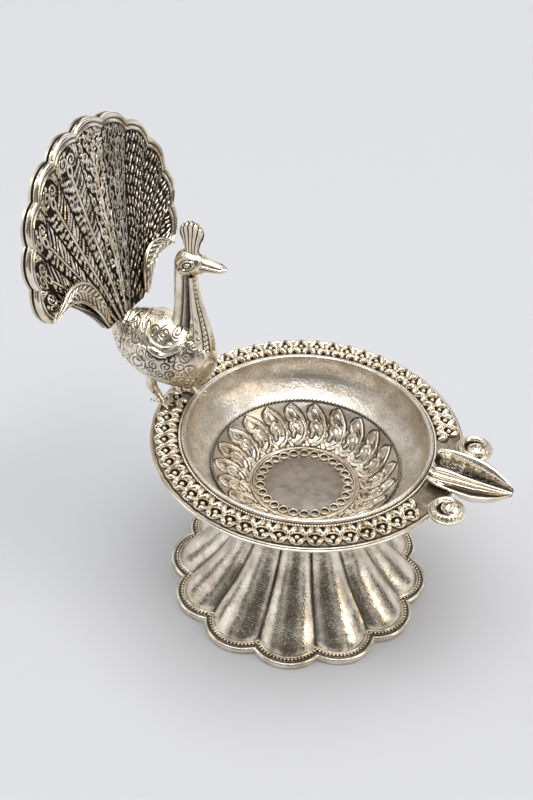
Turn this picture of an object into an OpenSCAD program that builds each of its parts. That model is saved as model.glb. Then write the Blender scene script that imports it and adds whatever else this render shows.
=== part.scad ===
// Oil lamp for devotional use: a fluted pedestal, a bowl with an ornamented rim and a wick spout,
// and a peacock with an open fan. The origin is the centre of the foot on the floor, +X points
// along the spout and +Z up.

/* [Foot and pedestal] */
// Radius of the foot at the tips of its lobes
foot_tip_r = 43.8; // [40:0.1:46]
// Radius of the foot at the cusps between its lobes
foot_cusp_r = 40; // [38:0.1:41]
// Number of lobes round the foot, and of flutes up the pedestal
lobe_count = 12; // [10:1:14]
// Height of the upright strip round the foot
foot_h = 2.4; // [2:0.1:4]
// Thickness of the upright strip
strip_wall = 1.2; // [0.8:0.1:1.6]
// Thickness of the ledge inside the strip, which the pedestal sits on
ledge_t = 1.2; // [0.8:0.1:1.6]
// Radius of the round opening under the foot
foot_opening_r = 33; // [28:0.5:34]
// Radius of the flutes at their foot, at the tips
flute_tip_r = 40.5; // [38:0.1:41]
// Radius of the flutes at their foot, in the valleys
flute_valley_r = 36; // [34:0.1:37]
// Radius of the flutes at the neck, at the tips
neck_tip_r = 17; // [16.5:0.1:19]
// Radius of the flutes at the neck, in the valleys
neck_valley_r = 14.8; // [14:0.1:16]
// Wall of the pedestal, measured level
pedestal_wall = 1.5; // [1:0.1:2]
// Thickness of the plate that closes the top of the pedestal
pedestal_top_t = 1.5; // [1:0.1:2.5]
// Height of the beaded line above the flange
bead_h = 0.6; // [0.3:0.1:0.9]
// Width of the beaded line
bead_w = 0.8; // [0.5:0.1:1]
// Distance of the beaded line from the edge of the foot
bead_inset = 1.7; // [1.5:0.1:1.9]

/* [Bowl] */
// Height of the top face of the rim band above the floor
rim_z = 62; // [56:0.5:68]
// Depth of the bowl floor below the top face of the rim band
bowl_depth = 21; // [18:0.5:22]
// Height of the lip above the rim band
lip_h = 1.6; // [1:0.1:3]
// Wall of the bowl
bowl_wall = 1.2; // [0.8:0.1:1.4]
// Thickness of the rounded bead on the lip
lip_bead_d = 1.5; // [1.5:0.1:1.8]
// Radius of the flat floor of the bowl
floor_r = 17.6; // [17.4:0.1:19]
// Outer radius of the collar under the bowl
collar_r = 16.4; // [14:0.1:17]
// Height of the collar
collar_h = 1.6; // [1.2:0.1:2.5]
// Thickness of the struck ring of petals
rosette_t = 0.5; // [0.4:0.1:0.8]
// Height of the petals above their ring
petal_h = 0.9; // [0.4:0.1:1.4]
// Number of petals
petal_count = 22; // [16:1:26]
// Angle by which each petal leans over its length
petal_lean = 14; // [0:1:20]
// Outer radius of the rosette, at its serrated edge
rosette_r = 30.6; // [28:0.1:32]
// Radius of the plain disc on the floor
medallion_r = 12.6; // [10:0.1:13]
// Thickness of the plain disc
medallion_t = 0.5; // [0.3:0.1:1]
// Radius of the centre line of the ring wire on the floor
ring_wire_r = 16.9; // [16.6:0.1:17]
// Diameter of the ring wire
ring_wire_d = 1.1; // [0.8:0.1:1.2]
// Number of small cups inside the ring wire
cup_count = 26; // [20:1:28]
// Outer diameter of a cup
cup_d = 2.8; // [2:0.1:2.9]
// Thickness of the wire of a cup
cup_wire_d = 0.8; // [0.6:0.1:1]

/* [Rim] */
// Radius of the rim, to the outside of its edge wire
rim_r = 50; // [48:0.5:54]
// Width of the rim, from the outside of the lip to the outside of the edge wire
rim_w = 10; // [9.8:0.1:11]
// Thickness of the rim band
band_t = 1.2; // [0.8:0.1:1.6]
// Thickness of the bowl's flange under the band
flange_t = 1.2; // [0.8:0.1:1.6]
// Diameter of the edge wire
edge_wire_d = 1.6; // [1.2:0.1:2]
// Diameter of the milled wire
milled_wire_d = 0.9; // [0.6:0.1:1]
// Number of scales in each row
scale_count = 54; // [40:1:56]
// Diameter of a scale in the outer row
scale_d = 4.2; // [3.4:0.1:4.2]
// Diameter of a scale in the inner row
inner_scale_d = 3.7; // [3:0.1:3.7]
// Height of a scale
scale_h = 1.5; // [0.8:0.1:2]
// Angle on each side of the spout that has no scales
scale_gap_angle = 21; // [20:1:24]

/* [Spout] */
// Reach of the spout beyond the rim
spout_reach = 17; // [13:0.5:21]
// Greatest width of the spout
spout_w = 18; // [15:0.1:18]
// Height of the spout's edge above the rim band at its root
spout_h = 4; // [3:0.1:5]
// Depth of the trough below its edge
trough_depth = 3; // [2:0.1:3.2]
// Depth of the spout's keel below its edge, outside the rim
keel_depth = 6.2; // [4.5:0.1:7]
// Width of the flat edge on each side of the trough
spout_edge_w = 4; // [2:0.1:4.5]
// Height of the leaf under the spout
leaf_h = 2.8; // [2:0.1:4]
// Radius of a scroll
scroll_r = 5.8; // [5:0.1:5.9]
// Thickness of the tube of a scroll at its start
scroll_d = 2.4; // [1.8:0.1:2.6]
// Distance of a scroll's centre from the spout's middle line
scroll_y = 15.3; // [15.2:0.1:16]

/* [Peacock] */
// Distance from the edge of the rim to the point between the feet
bird_inset = 5; // [4.6:0.1:5.4]
// Length of the body from breast to rump
body_len = 36; // [32:0.5:40]
// Distance of the rump behind the point between the feet
body_back = 23; // [21:0.5:25]
// Height of the body
body_h = 25.6; // [22:0.2:28]
// Width of the body
body_w = 19.6; // [17:0.2:22]
// Height of the body's middle above the rim band
body_z = 20.2; // [18:0.2:22]
// Height of the head's middle above the rim band
head_z = 55; // [52:0.5:58]
// Length of the head and beak
head_len = 16.8; // [14:0.2:18]
// Height of the head
head_h = 8.6; // [7:0.2:9]
// Width of the head
head_w = 7.2; // [6:0.2:8]
// Thickness of the neck from front to back at its root
neck_d = 13; // [11:0.2:14]
// Height of the crest
crest_h = 11.5; // [9:0.2:13]
// Width of the crest at its top
crest_w = 7.8; // [6:0.2:9]
// Thickness of the crest
crest_t = 2.8; // [2:0.1:3.5]
// Thickness of a leg at its top
leg_d = 3.6; // [3:0.1:4]
// Diameter of a leg's peg through the rim
peg_d = 1.6; // [1.4:0.1:2]

/* [Tail] */
// Radius of the fan, to the tips of its lobes
fan_r = 37; // [33:0.5:40]
// Height of the fan's centre above its root
fan_rise = 28.6; // [26:0.2:31]
// Number of lobes round the fan
fan_lobes = 11; // [9:2:15]
// Angle that the lobes cover
fan_sweep = 231; // [220:1:240]
// Angle by which the fan leans back
fan_lean = 14; // [10:1:18]
// Angle by which the fan is turned to the bird's right
fan_yaw = 8; // [0:1:12]
// Turn of the feathers about the middle of the fan, towards its far side (degrees)
fan_roll = 6; // [0:1:8]
// Shift of the middle of the fan towards its near side
fan_shift = 1.5; // [0:0.1:2]
// Arch of the fan's lower edges, on the near and the far side
fan_bows = [7, 4];
// Width of a bead of the fan's double edge
edge_bead_w = 0.7; // [0.5:0.1:0.8]
// Thickness of each plate of the fan
plate_t = 1.1; // [0.8:0.1:1.4]
// Space between the two plates
plate_gap = 1; // [0.8:0.1:1.6]
// Width of the fan at its root
stem_w = 20; // [16:0.5:22]
// Height of the feather ridges on the front plate
ridge_h = 0.7; // [0.3:0.1:1]
// Distance by which the tips of the feathers curl forward
tip_curl = 1.6; // [0:0.1:2.5]
// Width of a curled feather
covert_w = 6.4; // [5:0.1:8]

/* [Fixings] */
// Diameter of the stud that clamps the bowl to the pedestal
stud_d = 5; // [4:0.1:6]
// Length of the stud below the collar
stud_len = 9; // [8:0.5:12]
// Width of the stud's nut across its flats
nut_af = 8; // [7.5:0.1:10]
// Clearance between parts that slide together
fit_clear = 0.15; // [0.05:0.05:0.25]

/* [Hidden] */

silver = "#b9b2a4";
bright = "#d8d1c2";
dark = "#8d8577";

// Overrun of every cut past the face that it cuts
overrun = 0.5;
// Facets of a round edge that an exact rebuild keeps round
round_fn = 48;

floor_z = rim_z - bowl_depth;
bowl_bottom_z = floor_z - bowl_wall;
pedestal_top_z = bowl_bottom_z - collar_h;
lip_z = rim_z + lip_h;
lip_r = rim_r - rim_w;
band_r = rim_r - edge_wire_d - fit_clear / 2;
bird_x = bird_inset - rim_r;

// Points for each lobe of the foot and for each section of the cast pieces
lobe_steps = 6;
section_steps = 12;
tube_steps = 8;

// Radius of the circle that rounds a lobe, from its tip and cusp radii and the angle of half a lobe
function lobe_round(tip, cusp, half) =
    let (chord = cusp * sin(half), rise = tip - cusp * cos(half))
    (chord * chord + rise * rise) / (2 * rise);

// Distance from the axis to a lobe's edge, at an angle from the lobe's middle line
function lobe_edge(angle, middle, rounding) =
    middle * cos(angle) + sqrt(rounding * rounding - pow(middle * sin(angle), 2));

half_lobe = 180 / lobe_count;
foot_round = lobe_round(foot_tip_r, foot_cusp_r, half_lobe);
foot_middle = foot_tip_r - foot_round;

// One closed ring of lobes at a height, drawn in from the foot's outline
function inset_ring(inset, z) = [
    for (i = [0:lobe_count * lobe_steps - 1])
        let (angle = i * 2 * half_lobe / lobe_steps,
             edge = lobe_edge(angle % (2 * half_lobe) - half_lobe, foot_middle, foot_round - inset))
        [edge * cos(angle), edge * sin(angle), z]
];

// One closed ring of flutes at a height
function flute_ring(tip, valley, z) =
    let (rounding = lobe_round(tip, valley, half_lobe))
    [
        for (i = [0:lobe_count * lobe_steps - 1])
            let (angle = i * 2 * half_lobe / lobe_steps,
                 edge = lobe_edge(angle % (2 * half_lobe) - half_lobe, tip - rounding, rounding))
            [edge * cos(angle), edge * sin(angle), z]
    ];

// Closed surface through rings of equal length; a looped one joins its last ring to its first
module loft(rings, looped = false) {
    n = len(rings[0]);
    m = len(rings);
    last = looped ? m - 1 : m - 2;
    sides = [
        for (j = [0:last], i = [0:n - 1])
            let (a = j * n + i, b = j * n + (i + 1) % n, up = ((j + 1) % m - j) * n)
            each [[a, a + up, b + up], [a, b + up, b]]
    ];
    bottom = [for (i = [0:n - 1]) i];
    top = [for (i = [n - 1:-1:0]) (m - 1) * n + i];
    polyhedron([for (ring = rings) each ring], looped ? sides : concat(sides, [bottom, top]));
}

// Ellipse of points round a centre, across two unit directions
function oval(centre, across, along, half_across, half_along, steps) = [
    for (i = [0:steps - 1])
        centre + half_across * cos(i * 360 / steps) * across + half_along * sin(i * 360 / steps) * along
];

// Ring of a piece that runs forward: an ellipse that stands across the X axis
function cross_ring(x, y, z, half_w, half_h, steps) =
    oval([x, y, z], [0, 1, 0], [0, 0, 1], half_w, half_h, steps);

// Scalloped outline of the foot, drawn in by a distance
module foot_outline(inset) {
    for (i = [0:lobe_count - 1])
        rotate((i + 1 / 2) * 2 * half_lobe)
            translate([foot_middle, 0])
                circle(r = foot_round - inset, $fn = round_fn);
    circle(r = foot_middle, $fn = round_fn);
}

module foot_edge_strip() {
    color(silver) {
        linear_extrude(ledge_t)
            difference() {
                foot_outline(0);
                circle(r = foot_opening_r, $fn = round_fn);
            }
        linear_extrude(foot_h)
            difference() {
                foot_outline(0);
                foot_outline(strip_wall);
            }
    }
}

module foot_bead_wire() {
    color(bright)
        translate([0, 0, foot_h])
            linear_extrude(bead_h)
                difference() {
                    foot_outline(bead_inset);
                    foot_outline(bead_inset + bead_w);
                }
}

// Height and radius of the flutes, as shares of the way from the flange to the neck
flute_shares = [
    [0, 1], [0.05, 0.955], [0.12, 0.86], [0.21, 0.72], [0.325, 0.565], [0.46, 0.41],
    [0.6, 0.28], [0.74, 0.17], [0.88, 0.07], [1, 0]
];

// Flute ring at one entry of the table, drawn in level by a wall
function pedestal_ring(share, wall) = flute_ring(
    neck_tip_r + share[1] * (flute_tip_r - neck_tip_r) - wall,
    neck_valley_r + share[1] * (flute_valley_r - neck_valley_r) - wall,
    foot_h + share[0] * (pedestal_top_z - foot_h)
);

module pedestal_shell() {
    flange_inset = strip_wall + fit_clear;
    last = len(flute_shares) - 1;
    foot_inside = flute_ring(flute_tip_r - pedestal_wall, flute_valley_r - pedestal_wall, ledge_t);
    flange = [inset_ring(flange_inset, ledge_t), inset_ring(flange_inset, foot_h)];
    outside = [for (share = flute_shares) pedestal_ring(share, 0)];
    inside = [for (k = [last:-1:1]) pedestal_ring(flute_shares[k], pedestal_wall)];
    color(silver)
        difference() {
            union() {
                loft(concat([foot_inside], flange, outside, inside), looped = true);
                translate([0, 0, pedestal_top_z - pedestal_top_t])
                    cylinder(h = pedestal_top_t, r = neck_valley_r - pedestal_wall / 2, $fn = round_fn);
            }
            translate([0, 0, pedestal_top_z - pedestal_top_t - overrun])
                cylinder(h = pedestal_top_t + 2 * overrun, d = stud_d + 2 * fit_clear, $fn = round_fn);
        }
}

// The stud's head is brazed under the bowl, and the collar is bored to go over it
stud_head_r = stud_d;
stud_head_h = collar_h - fit_clear;

module neck_collar() {
    color(bright)
        translate([0, 0, pedestal_top_z])
            rotate_extrude($fn = round_fn)
                difference() {
                    union() {
                        square([collar_r - collar_h / 2, collar_h]);
                        translate([collar_r - collar_h / 2, collar_h / 2])
                            circle(d = collar_h, $fn = round_fn);
                    }
                    translate([0, -overrun])
                        square([stud_head_r + fit_clear, collar_h + 2 * overrun]);
                }
}

module centre_stud() {
    color(dark)
        translate([0, 0, bowl_bottom_z - stud_head_h]) {
            cylinder(h = stud_head_h, r = stud_head_r, $fn = round_fn);
            translate([0, 0, -stud_len])
                cylinder(h = stud_len, d = stud_d, $fn = round_fn);
        }
}

washer_t = pedestal_top_t * 2 / 3;
washer_z = pedestal_top_z - pedestal_top_t - washer_t;

module stud_washer() {
    color(dark)
        translate([0, 0, washer_z])
            difference() {
                cylinder(h = washer_t, r = nut_af * 3 / 4, $fn = round_fn);
                translate([0, 0, -overrun])
                    cylinder(h = washer_t + 2 * overrun, d = stud_d + 2 * fit_clear, $fn = round_fn);
            }
}

nut_h = nut_af / 2;

module stud_nut() {
    color(dark)
        translate([0, 0, washer_z - nut_h])
            difference() {
                cylinder(h = nut_h, d = nut_af / cos(30), $fn = 6);
                translate([0, 0, -overrun])
                    cylinder(h = nut_h + 2 * overrun, d = stud_d + fit_clear, $fn = round_fn);
            }
}

// Inside of the bowl, as shares of the way from the edge of the floor to the top of the lip
bowl_shares = [
    [0, 0], [0.12, 0.05], [0.35, 0.225], [0.6, 0.455], [0.66, 0.49], [0.79, 0.585], [0.93, 0.75],
    [0.99, 0.91], [1, 1]
];
lip_inside_r = lip_r - bowl_wall;
bowl_inside = [
    for (share = bowl_shares)
        [
            floor_r + share[0] * (lip_inside_r - floor_r),
            floor_z + share[1] * (lip_z - lip_bead_d / 2 - floor_z)
        ]
];

// Direction square to a line of points, to its right, at one of them
function side_step(line, k) =
    let (a = line[max(k - 1, 0)], b = line[min(k + 1, len(line) - 1)], d = (b - a) / norm(b - a))
    [d[1], -d[0]];

// A line of points moved to its right by a distance
function beside(line, distance) = [for (k = [0:len(line) - 1]) line[k] + distance * side_step(line, k)];

flange_z = rim_z - band_t - flange_t;

module bowl_shell() {
    outside = beside(bowl_inside, bowl_wall);
    last = len(outside) - 1;
    color(silver)
        difference() {
            union() {
                rotate_extrude($fn = round_fn)
                    polygon(concat(
                        [[0, floor_z]],
                        bowl_inside,
                        [for (k = [last:-1:1]) outside[k]],
                        [[floor_r, bowl_bottom_z], [0, bowl_bottom_z]]
                    ));
                translate([0, 0, lip_z - lip_bead_d])
                    ring_wire(lip_r - lip_bead_d / 2, lip_bead_d);
                rotate_extrude($fn = round_fn)
                    translate([lip_r - bowl_wall, flange_z])
                        square([band_r - lip_r + bowl_wall, flange_t]);
            }
            peg_holes();
        }
}

// Height of the bowl's inside at a distance from the axis, between the floor and the serrated edge
function bowl_height(r) = lookup(r, bowl_inside);

// Steps of the rosette's surface round each petal and along it, and the height of each step
petal_round_shares = [0, 0.7, 1, 0.7];
petal_long_shares = [0, 0.75, 1, 0.9, 0.5, 0];

module rosette_plate() {
    steps = len(petal_round_shares);
    long = len(petal_long_shares) - 1;
    inner_r = floor_r + rosette_t;
    top = [
        for (j = [0:long])
            let (r = inner_r + j / long * (rosette_r - inner_r))
            [
                for (i = [0:petal_count * steps - 1])
                    let (angle = i * 360 / (petal_count * steps) + petal_lean * j / long,
                         h = petal_h * petal_round_shares[i % steps] * petal_long_shares[j])
                    [r * cos(angle), r * sin(angle), bowl_height(r) + rosette_t + h]
            ]
    ];
    under = [
        for (j = [long:-1:0])
            let (r = inner_r + j / long * (rosette_r - inner_r))
            [
                for (i = [0:petal_count * steps - 1])
                    let (angle = i * 360 / (petal_count * steps) + petal_lean * j / long)
                    [r * cos(angle), r * sin(angle), bowl_height(r) + fit_clear / 2]
            ]
    ];
    color(silver)
        loft(concat(under, top), looped = true);
}

module medallion_disc() {
    color(dark)
        translate([0, 0, floor_z])
            cylinder(h = medallion_t, r = medallion_r, $fn = round_fn);
}

// A wire bent to a ring, lying on the plane z = 0
module ring_wire(r, d) {
    rotate_extrude($fn = round_fn)
        translate([r, d / 2])
            circle(d = d, $fn = round_fn / 2);
}

module medallion_ring() {
    color(bright)
        translate([0, 0, floor_z])
            ring_wire(ring_wire_r, ring_wire_d);
}

module medallion_cups() {
    cup_centre_r = (medallion_r + ring_wire_r - ring_wire_d / 2) / 2;
    color(bright)
        for (i = [0:cup_count - 1])
            rotate(i * 360 / cup_count)
                translate([cup_centre_r, 0, floor_z])
                    ring_wire((cup_d - cup_wire_d) / 2, cup_wire_d);
}

// Holes for the pegs of both legs
module peg_holes() {
    for (side = [-1, 1])
        translate([bird_x + foot_forward(side), foot_side(side), flange_z - overrun])
            cylinder(h = rim_z - flange_z + 2 * overrun, d = peg_d + fit_clear, $fn = round_fn);
}

module rim_band() {
    color(silver)
        difference() {
            translate([0, 0, rim_z - band_t])
                rotate_extrude($fn = round_fn)
                    translate([lip_r + fit_clear, 0])
                        square([band_r - lip_r - fit_clear, band_t]);
            peg_holes();
        }
}

module rim_edge_wire() {
    color(bright)
        translate([0, 0, rim_z - edge_wire_d])
            ring_wire(rim_r - edge_wire_d / 2, edge_wire_d);
}

milled_wire_r = lip_r + fit_clear + milled_wire_d / 2;

module rim_milled_wire() {
    color(bright)
        translate([0, 0, rim_z])
            ring_wire(milled_wire_r, milled_wire_d);
}

// Half the profile of a scale: a ball in a cup, as shares of its radius and its height
scale_shares = [
    [0, 1], [0.25, 0.92], [0.45, 0.6], [0.58, 0.25], [0.72, 0.7], [0.86, 0.7], [1, 0.2], [1, 0], [0, 0]
];

module scale(diameter) {
    rotate_extrude($fn = round_fn / 2)
        polygon([for (share = scale_shares) [share[0] * diameter / 2, share[1] * scale_h]]);
}

outer_scale_r = band_r - scale_d / 2;
inner_scale_r = milled_wire_r + milled_wire_d / 2 + fit_clear + inner_scale_d / 2;

// A row of scales round the rim, without those under the spout and the feet
module scale_row(r, diameter, shift) {
    pitch = 360 / scale_count;
    for (i = [0:scale_count - 1]) {
        angle = (i + shift) * pitch;
        from_spout = min(angle, 360 - angle);
        x = r * cos(angle);
        y = r * sin(angle);
        clear = min([for (side = [-1, 1]) norm([x - bird_x - foot_forward(side), y - foot_side(side)])]);
        if (from_spout > scale_gap_angle && clear > toe_len)
            translate([x, y, rim_z])
                scale(diameter);
    }
}

module rim_scales_outer() {
    color(bright)
        scale_row(outer_scale_r, scale_d, 0);
}

module rim_scales_inner() {
    color(bright)
        scale_row(inner_scale_r, inner_scale_d, 1 / 2);
}

// Stations of the spout from its root to its tip: the distance along it as a share of its length,
// then its half width, the drop of its edge, the depth of its keel, the depth of its trough and the
// width of its edge, each as a share of the greatest
spout_shares = [
    [0, 0.8, 0, 0.62, 0.1, 0.3], [0.05, 0.86, 0.02, 0.62, 0.9, 0.35], [0.16, 0.96, 0.06, 0.6, 1, 0.55],
    [0.35, 1, 0.2, 0.53, 0.95, 0.85], [0.43, 1, 0.28, 0.97, 0.92, 0.95], [0.57, 0.96, 0.45, 1, 0.8, 1],
    [0.73, 0.78, 0.65, 0.84, 0.55, 1], [0.86, 0.52, 0.85, 0.58, 0.2, 1],
    [0.96, 0.24, 0.97, 0.36, 0.1, 0.6], [1, 0.08, 1, 0.2, 0.06, 0.2]
];
// Trough of the spout across its width, from the near wall to the far wall: place and depth
trough_shares = [
    [1, 0], [0.9, 0.72], [0.66, 1], [0.44, 0.6], [0.22, 1], [0, 0.6], [-0.22, 1], [-0.44, 0.6],
    [-0.66, 1], [-0.9, 0.72], [-1, 0]
];
// Underside of the spout from the far edge to the near one: place and depth
keel_shares = [[-1, 0], [-0.96, 0.3], [-0.7, 0.75], [-0.3, 1], [0.3, 1], [0.7, 0.75], [0.96, 0.3], [1, 0]];

spout_root_x = milled_wire_r + milled_wire_d / 2 + fit_clear;
spout_len = rim_r + spout_reach - spout_root_x;
// Fall of the spout's edge from its root to its tip, as a share of its height
spout_drop_share = 0.6;

// Height of the spout's edge at one station
function spout_edge_z(share) = rim_z + spout_h - share[2] * spout_drop_share * spout_h;

module spout_trough() {
    rings = [
        for (share = spout_shares)
            let (x = spout_root_x + share[0] * spout_len,
                 half = share[1] * spout_w / 2,
                 z = spout_edge_z(share),
                 inside = half - share[5] * min(spout_edge_w, half / 2))
            concat(
                [for (p = trough_shares) [x, p[0] * inside, z - p[1] * share[4] * trough_depth]],
                [
                    for (p = keel_shares)
                        [x, p[0] * half, z - fit_clear - p[1] * (share[3] * keel_depth - fit_clear)]
                ]
            )
    ];
    color(bright)
        loft(rings);
}

// Leaf under the spout: distance along it, width and depth, as shares of its length, width and height
leaf_shares = [
    [0, 0.2, 0.15], [0.15, 0.75, 0.7], [0.3, 0.9, 0.85], [0.42, 0.6, 0.6], [0.55, 0.8, 0.95],
    [0.7, 0.5, 0.55], [0.82, 0.5, 0.6], [1, 0.1, 0.1]
];
// Start and length of the leaf along the spout
leaf_place_shares = [0.46, 0.42];
// Width of the leaf as a share of the spout's width
leaf_w_share = 0.4;
// Place and depth of the leaf's shoulders between its edge and its middle
leaf_side_shares = [0.8, 0.6];

// Height of the spout's keel at a share of the spout's length
function keel_z(s) =
    lookup(s, [for (share = spout_shares) [share[0], spout_edge_z(share) - share[3] * keel_depth]]);

module spout_leaf() {
    rings = [
        for (share = leaf_shares)
            let (s = leaf_place_shares[0] + share[0] * leaf_place_shares[1],
                 x = spout_root_x + s * spout_len,
                 half = share[1] * leaf_w_share * spout_w / 2,
                 top = keel_z(s) - fit_clear / 2,
                 deep = share[2] * leaf_h,
                 side = half * leaf_side_shares[0],
                 side_z = top - deep * leaf_side_shares[1])
            [[x, side, side_z], [x, 0, top - deep], [x, -side, side_z], [x, -half, top], [x, half, top]]
    ];
    color(bright)
        loft(rings);
}

// Rings of a tube along a path, with its radius at each point of the path
function tube_rings(path, radii, up) = [
    for (k = [0:len(path) - 1])
        let (way = path[min(k + 1, len(path) - 1)] - path[max(k - 1, 0)],
             across = cross(up, way) / norm(cross(up, way)),
             over = cross(way, across) / norm(way))
        oval(path[k], across, over, radii[k], radii[k], tube_steps)
];

// Angle that a scroll winds through, the angle that it starts at and its number of steps
scroll_turn = 420;
scroll_start = 180;
scroll_steps = 20;
// Loss of thickness from the outer end of a scroll to its eye
scroll_taper_share = 0.35;

// Thickness of the plate under a scroll, as a share of the scroll's tube
scroll_plate_share = 0.4;
// Radius and height of the boss in a scroll, as shares of its radius and its tube
scroll_eye_shares = [0.6, 1.3];

// Rise of the scroll towards its eye
function scroll_lift(s) = s * scroll_d / 2;

// Volute beside the spout, on the side of +Y, wound from its outer end to its eye
module scroll() {
    end_r = scroll_r - scroll_d / 2;
    eye_r = scroll_d / 2;
    shares = [for (k = [0:scroll_steps]) k / scroll_steps];
    centre_x = rim_r + scroll_d / 4;
    path = [
        for (s = shares)
            let (angle = -(scroll_start + s * scroll_turn), r = end_r + s * (eye_r - end_r))
            [centre_x + r * cos(angle), scroll_y + r * sin(angle), rim_z + scroll_d / 2 + scroll_lift(s)]
    ];
    radii = [for (s = shares) scroll_d / 2 * (1 - scroll_taper_share * s)];
    loft(tube_rings(path, radii, [0, 0, 1]));
    translate([centre_x, scroll_y, rim_z]) {
        cylinder(h = scroll_d * scroll_plate_share, r = end_r, $fn = round_fn);
        cylinder(h = scroll_d * scroll_eye_shares[1], r1 = scroll_r * scroll_eye_shares[0], r2 = eye_r,
                 $fn = round_fn);
    }
}

module scroll_left() {
    color(bright)
        scroll();
}

module scroll_right() {
    color(bright)
        mirror([0, 1, 0])
            scroll();
}

// The left foot is a step ahead of the right one, seen along the bird's heading
stride = body_len / 9.5;
stance = body_w / 4.5;

function foot_forward(side) = side * stride;
function foot_side(side) = side * stance;

// Thickness and length of a toe, as shares of the leg's thickness
toe_shares = [0.4, 1.1];
toe_d = leg_d * toe_shares[0];
toe_len = leg_d * toe_shares[1];
// Angle between the toes
toe_angle = 32;
leg_nut_h = peg_d;

// Top of a leg as a share of the height of the body's middle, and its shift back as a share of the stride
leg_top_share = 0.6;
leg_lean_share = 0.95;

// Shank of a leg from the toes to its socket in the body: height as a share of the body's middle
// height above the rim, shift back as a share of the stride, and thickness as a share of the leg's
leg_shares = [
    [0.03, 0, 0.5], [0.09, 0.05, 0.72], [0.18, 0.35, 0.8], [0.27, 0.75, 0.9],
    [0.35, leg_lean_share, 1], [leg_top_share, leg_lean_share, 1]
];

// Sockets in the body that the legs sit in
module leg_sockets() {
    for (side = [-1, 1])
        translate([foot_forward(side) - leg_lean_share * stride, foot_side(side), 0])
            cylinder(h = leg_top_share * body_z + fit_clear, d = leg_d + 2 * fit_clear, $fn = round_fn / 2);
}

module leg(side) {
    x = foot_forward(side);
    y = foot_side(side);
    rings = [
        for (share = leg_shares)
            oval([x - share[1] * stride, y, share[0] * body_z], [1, 0, 0], [0, 1, 0],
                 share[2] * leg_d / 2, share[2] * leg_d / 2, tube_steps)
    ];
    at_bird() {
        loft(rings);
        for (angle = [-toe_angle, 0, toe_angle, 180])
            translate([x, y, toe_d / 2])
                rotate([0, 90, angle])
                    cylinder(h = toe_len, d1 = toe_d, d2 = toe_d / 2, $fn = round_fn / 2);
        translate([x, y, -band_t - flange_t - leg_nut_h])
            cylinder(h = band_t + flange_t + leg_nut_h + toe_d, d = peg_d, $fn = round_fn / 2);
    }
}

// Places a piece on the rim band, between the bird's feet and heading to the spout
module at_bird() {
    translate([bird_x, 0, rim_z])
        children();
}

module leg_left() {
    color(silver)
        leg(1);
}

module leg_right() {
    color(silver)
        leg(-1);
}

module leg_nuts() {
    color(dark)
        for (side = [-1, 1])
            translate([bird_x + foot_forward(side), foot_side(side), flange_z - leg_nut_h])
                difference() {
                    cylinder(h = leg_nut_h, r = peg_d, $fn = round_fn / 2);
                    translate([0, 0, -overrun])
                        cylinder(h = leg_nut_h + 2 * overrun, d = peg_d + fit_clear, $fn = round_fn / 2);
                }
}

// Body from rump to breast: distance along it, rise of its middle, half height and half width, as
// shares of its length, height and width
body_shares = [
    [0, 0.1, 0.05, 0.05], [0.05, 0.09, 0.36, 0.36], [0.14, 0.06, 0.62, 0.62], [0.26, 0.03, 0.83, 0.84],
    [0.4, 0.01, 0.96, 0.96], [0.54, 0, 1, 1], [0.68, -0.015, 0.97, 0.97], [0.8, -0.03, 0.87, 0.87],
    [0.9, -0.04, 0.68, 0.7], [0.965, -0.04, 0.42, 0.46], [1, -0.04, 0.06, 0.08]
];

// The body, grown by a clearance
module body_solid(grow = 0) {
    loft([
        for (share = body_shares)
            let (x = share[0] * body_len - body_back + (2 * share[0] - 1) * grow)
            cross_ring(x, 0, body_z + share[1] * body_h, share[3] * body_w / 2 + grow,
                       share[2] * body_h / 2 + grow, section_steps)
    ]);
}

// Folded wing from its tip to its shoulder: distance along the body and height above its middle, then
// height and reach to the side, as shares of the body's
wing_shares = [
    [0.1, 0.14, 0.05, 0.5], [0.2, 0.1, 0.22, 0.86], [0.36, 0.04, 0.4, 1.06], [0.52, 0, 0.44, 1.1],
    [0.64, -0.01, 0.36, 1.08], [0.74, -0.01, 0.1, 0.94]
];
// Reach of the wing's lower and upper edges, as shares of its middle's
wing_edge_shares = [0.92, 0.88];

// Folded wing in relief on one side of the body
module wing(side) {
    rings = [
        for (share = wing_shares)
            let (x = share[0] * body_len - body_back, z = body_z + share[1] * body_h,
                 out = share[3] * body_w / 2, half = share[2] * body_h / 2)
            [[x, 0, z - half / 2], [x, out * wing_edge_shares[0], z - half], [x, out, z],
             [x, out * wing_edge_shares[1], z + half], [x, 0, z + half / 2]]
    ];
    mirror([0, side < 0 ? 1 : 0, 0])
        loft(rings);
}

module peacock_body() {
    color(silver)
        at_bird()
            difference() {
                union() {
                    body_solid();
                    for (side = [-1, 1])
                        wing(side);
                }
                tail_slot();
                leg_sockets();
            }
}

// Neck from its root to the head: place ahead of the feet and height as shares of the body's
// length and the head's height, then half thickness and half width as shares of its root's
neck_shares = [
    [-0.16, 0.36, 0.62, 0.7], [-0.07, 0.45, 0.5, 0.6], [-0.02, 0.53, 0.4, 0.48], [0.01, 0.6, 0.33, 0.4],
    [0.022, 0.68, 0.3, 0.36], [0.026, 0.78, 0.31, 0.35], [0.028, 0.9, 0.33, 0.36], [0.04, 0.99, 0.36, 0.4]
];
// Head from the nape to the tip of the bill: distance along it, rise, half height and half width
head_shares = [
    [0, -0.05, 0.12, 0.14], [0.04, -0.05, 0.55, 0.55], [0.11, -0.03, 0.86, 0.84], [0.22, 0, 1, 1],
    [0.34, 0.01, 0.97, 0.97], [0.45, 0.02, 0.82, 0.84], [0.53, 0.04, 0.66, 0.7], [0.61, 0.06, 0.54, 0.64],
    [0.78, 0.08, 0.42, 0.56], [0.93, 0.07, 0.28, 0.42], [1, 0.06, 0.1, 0.16]
];
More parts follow.
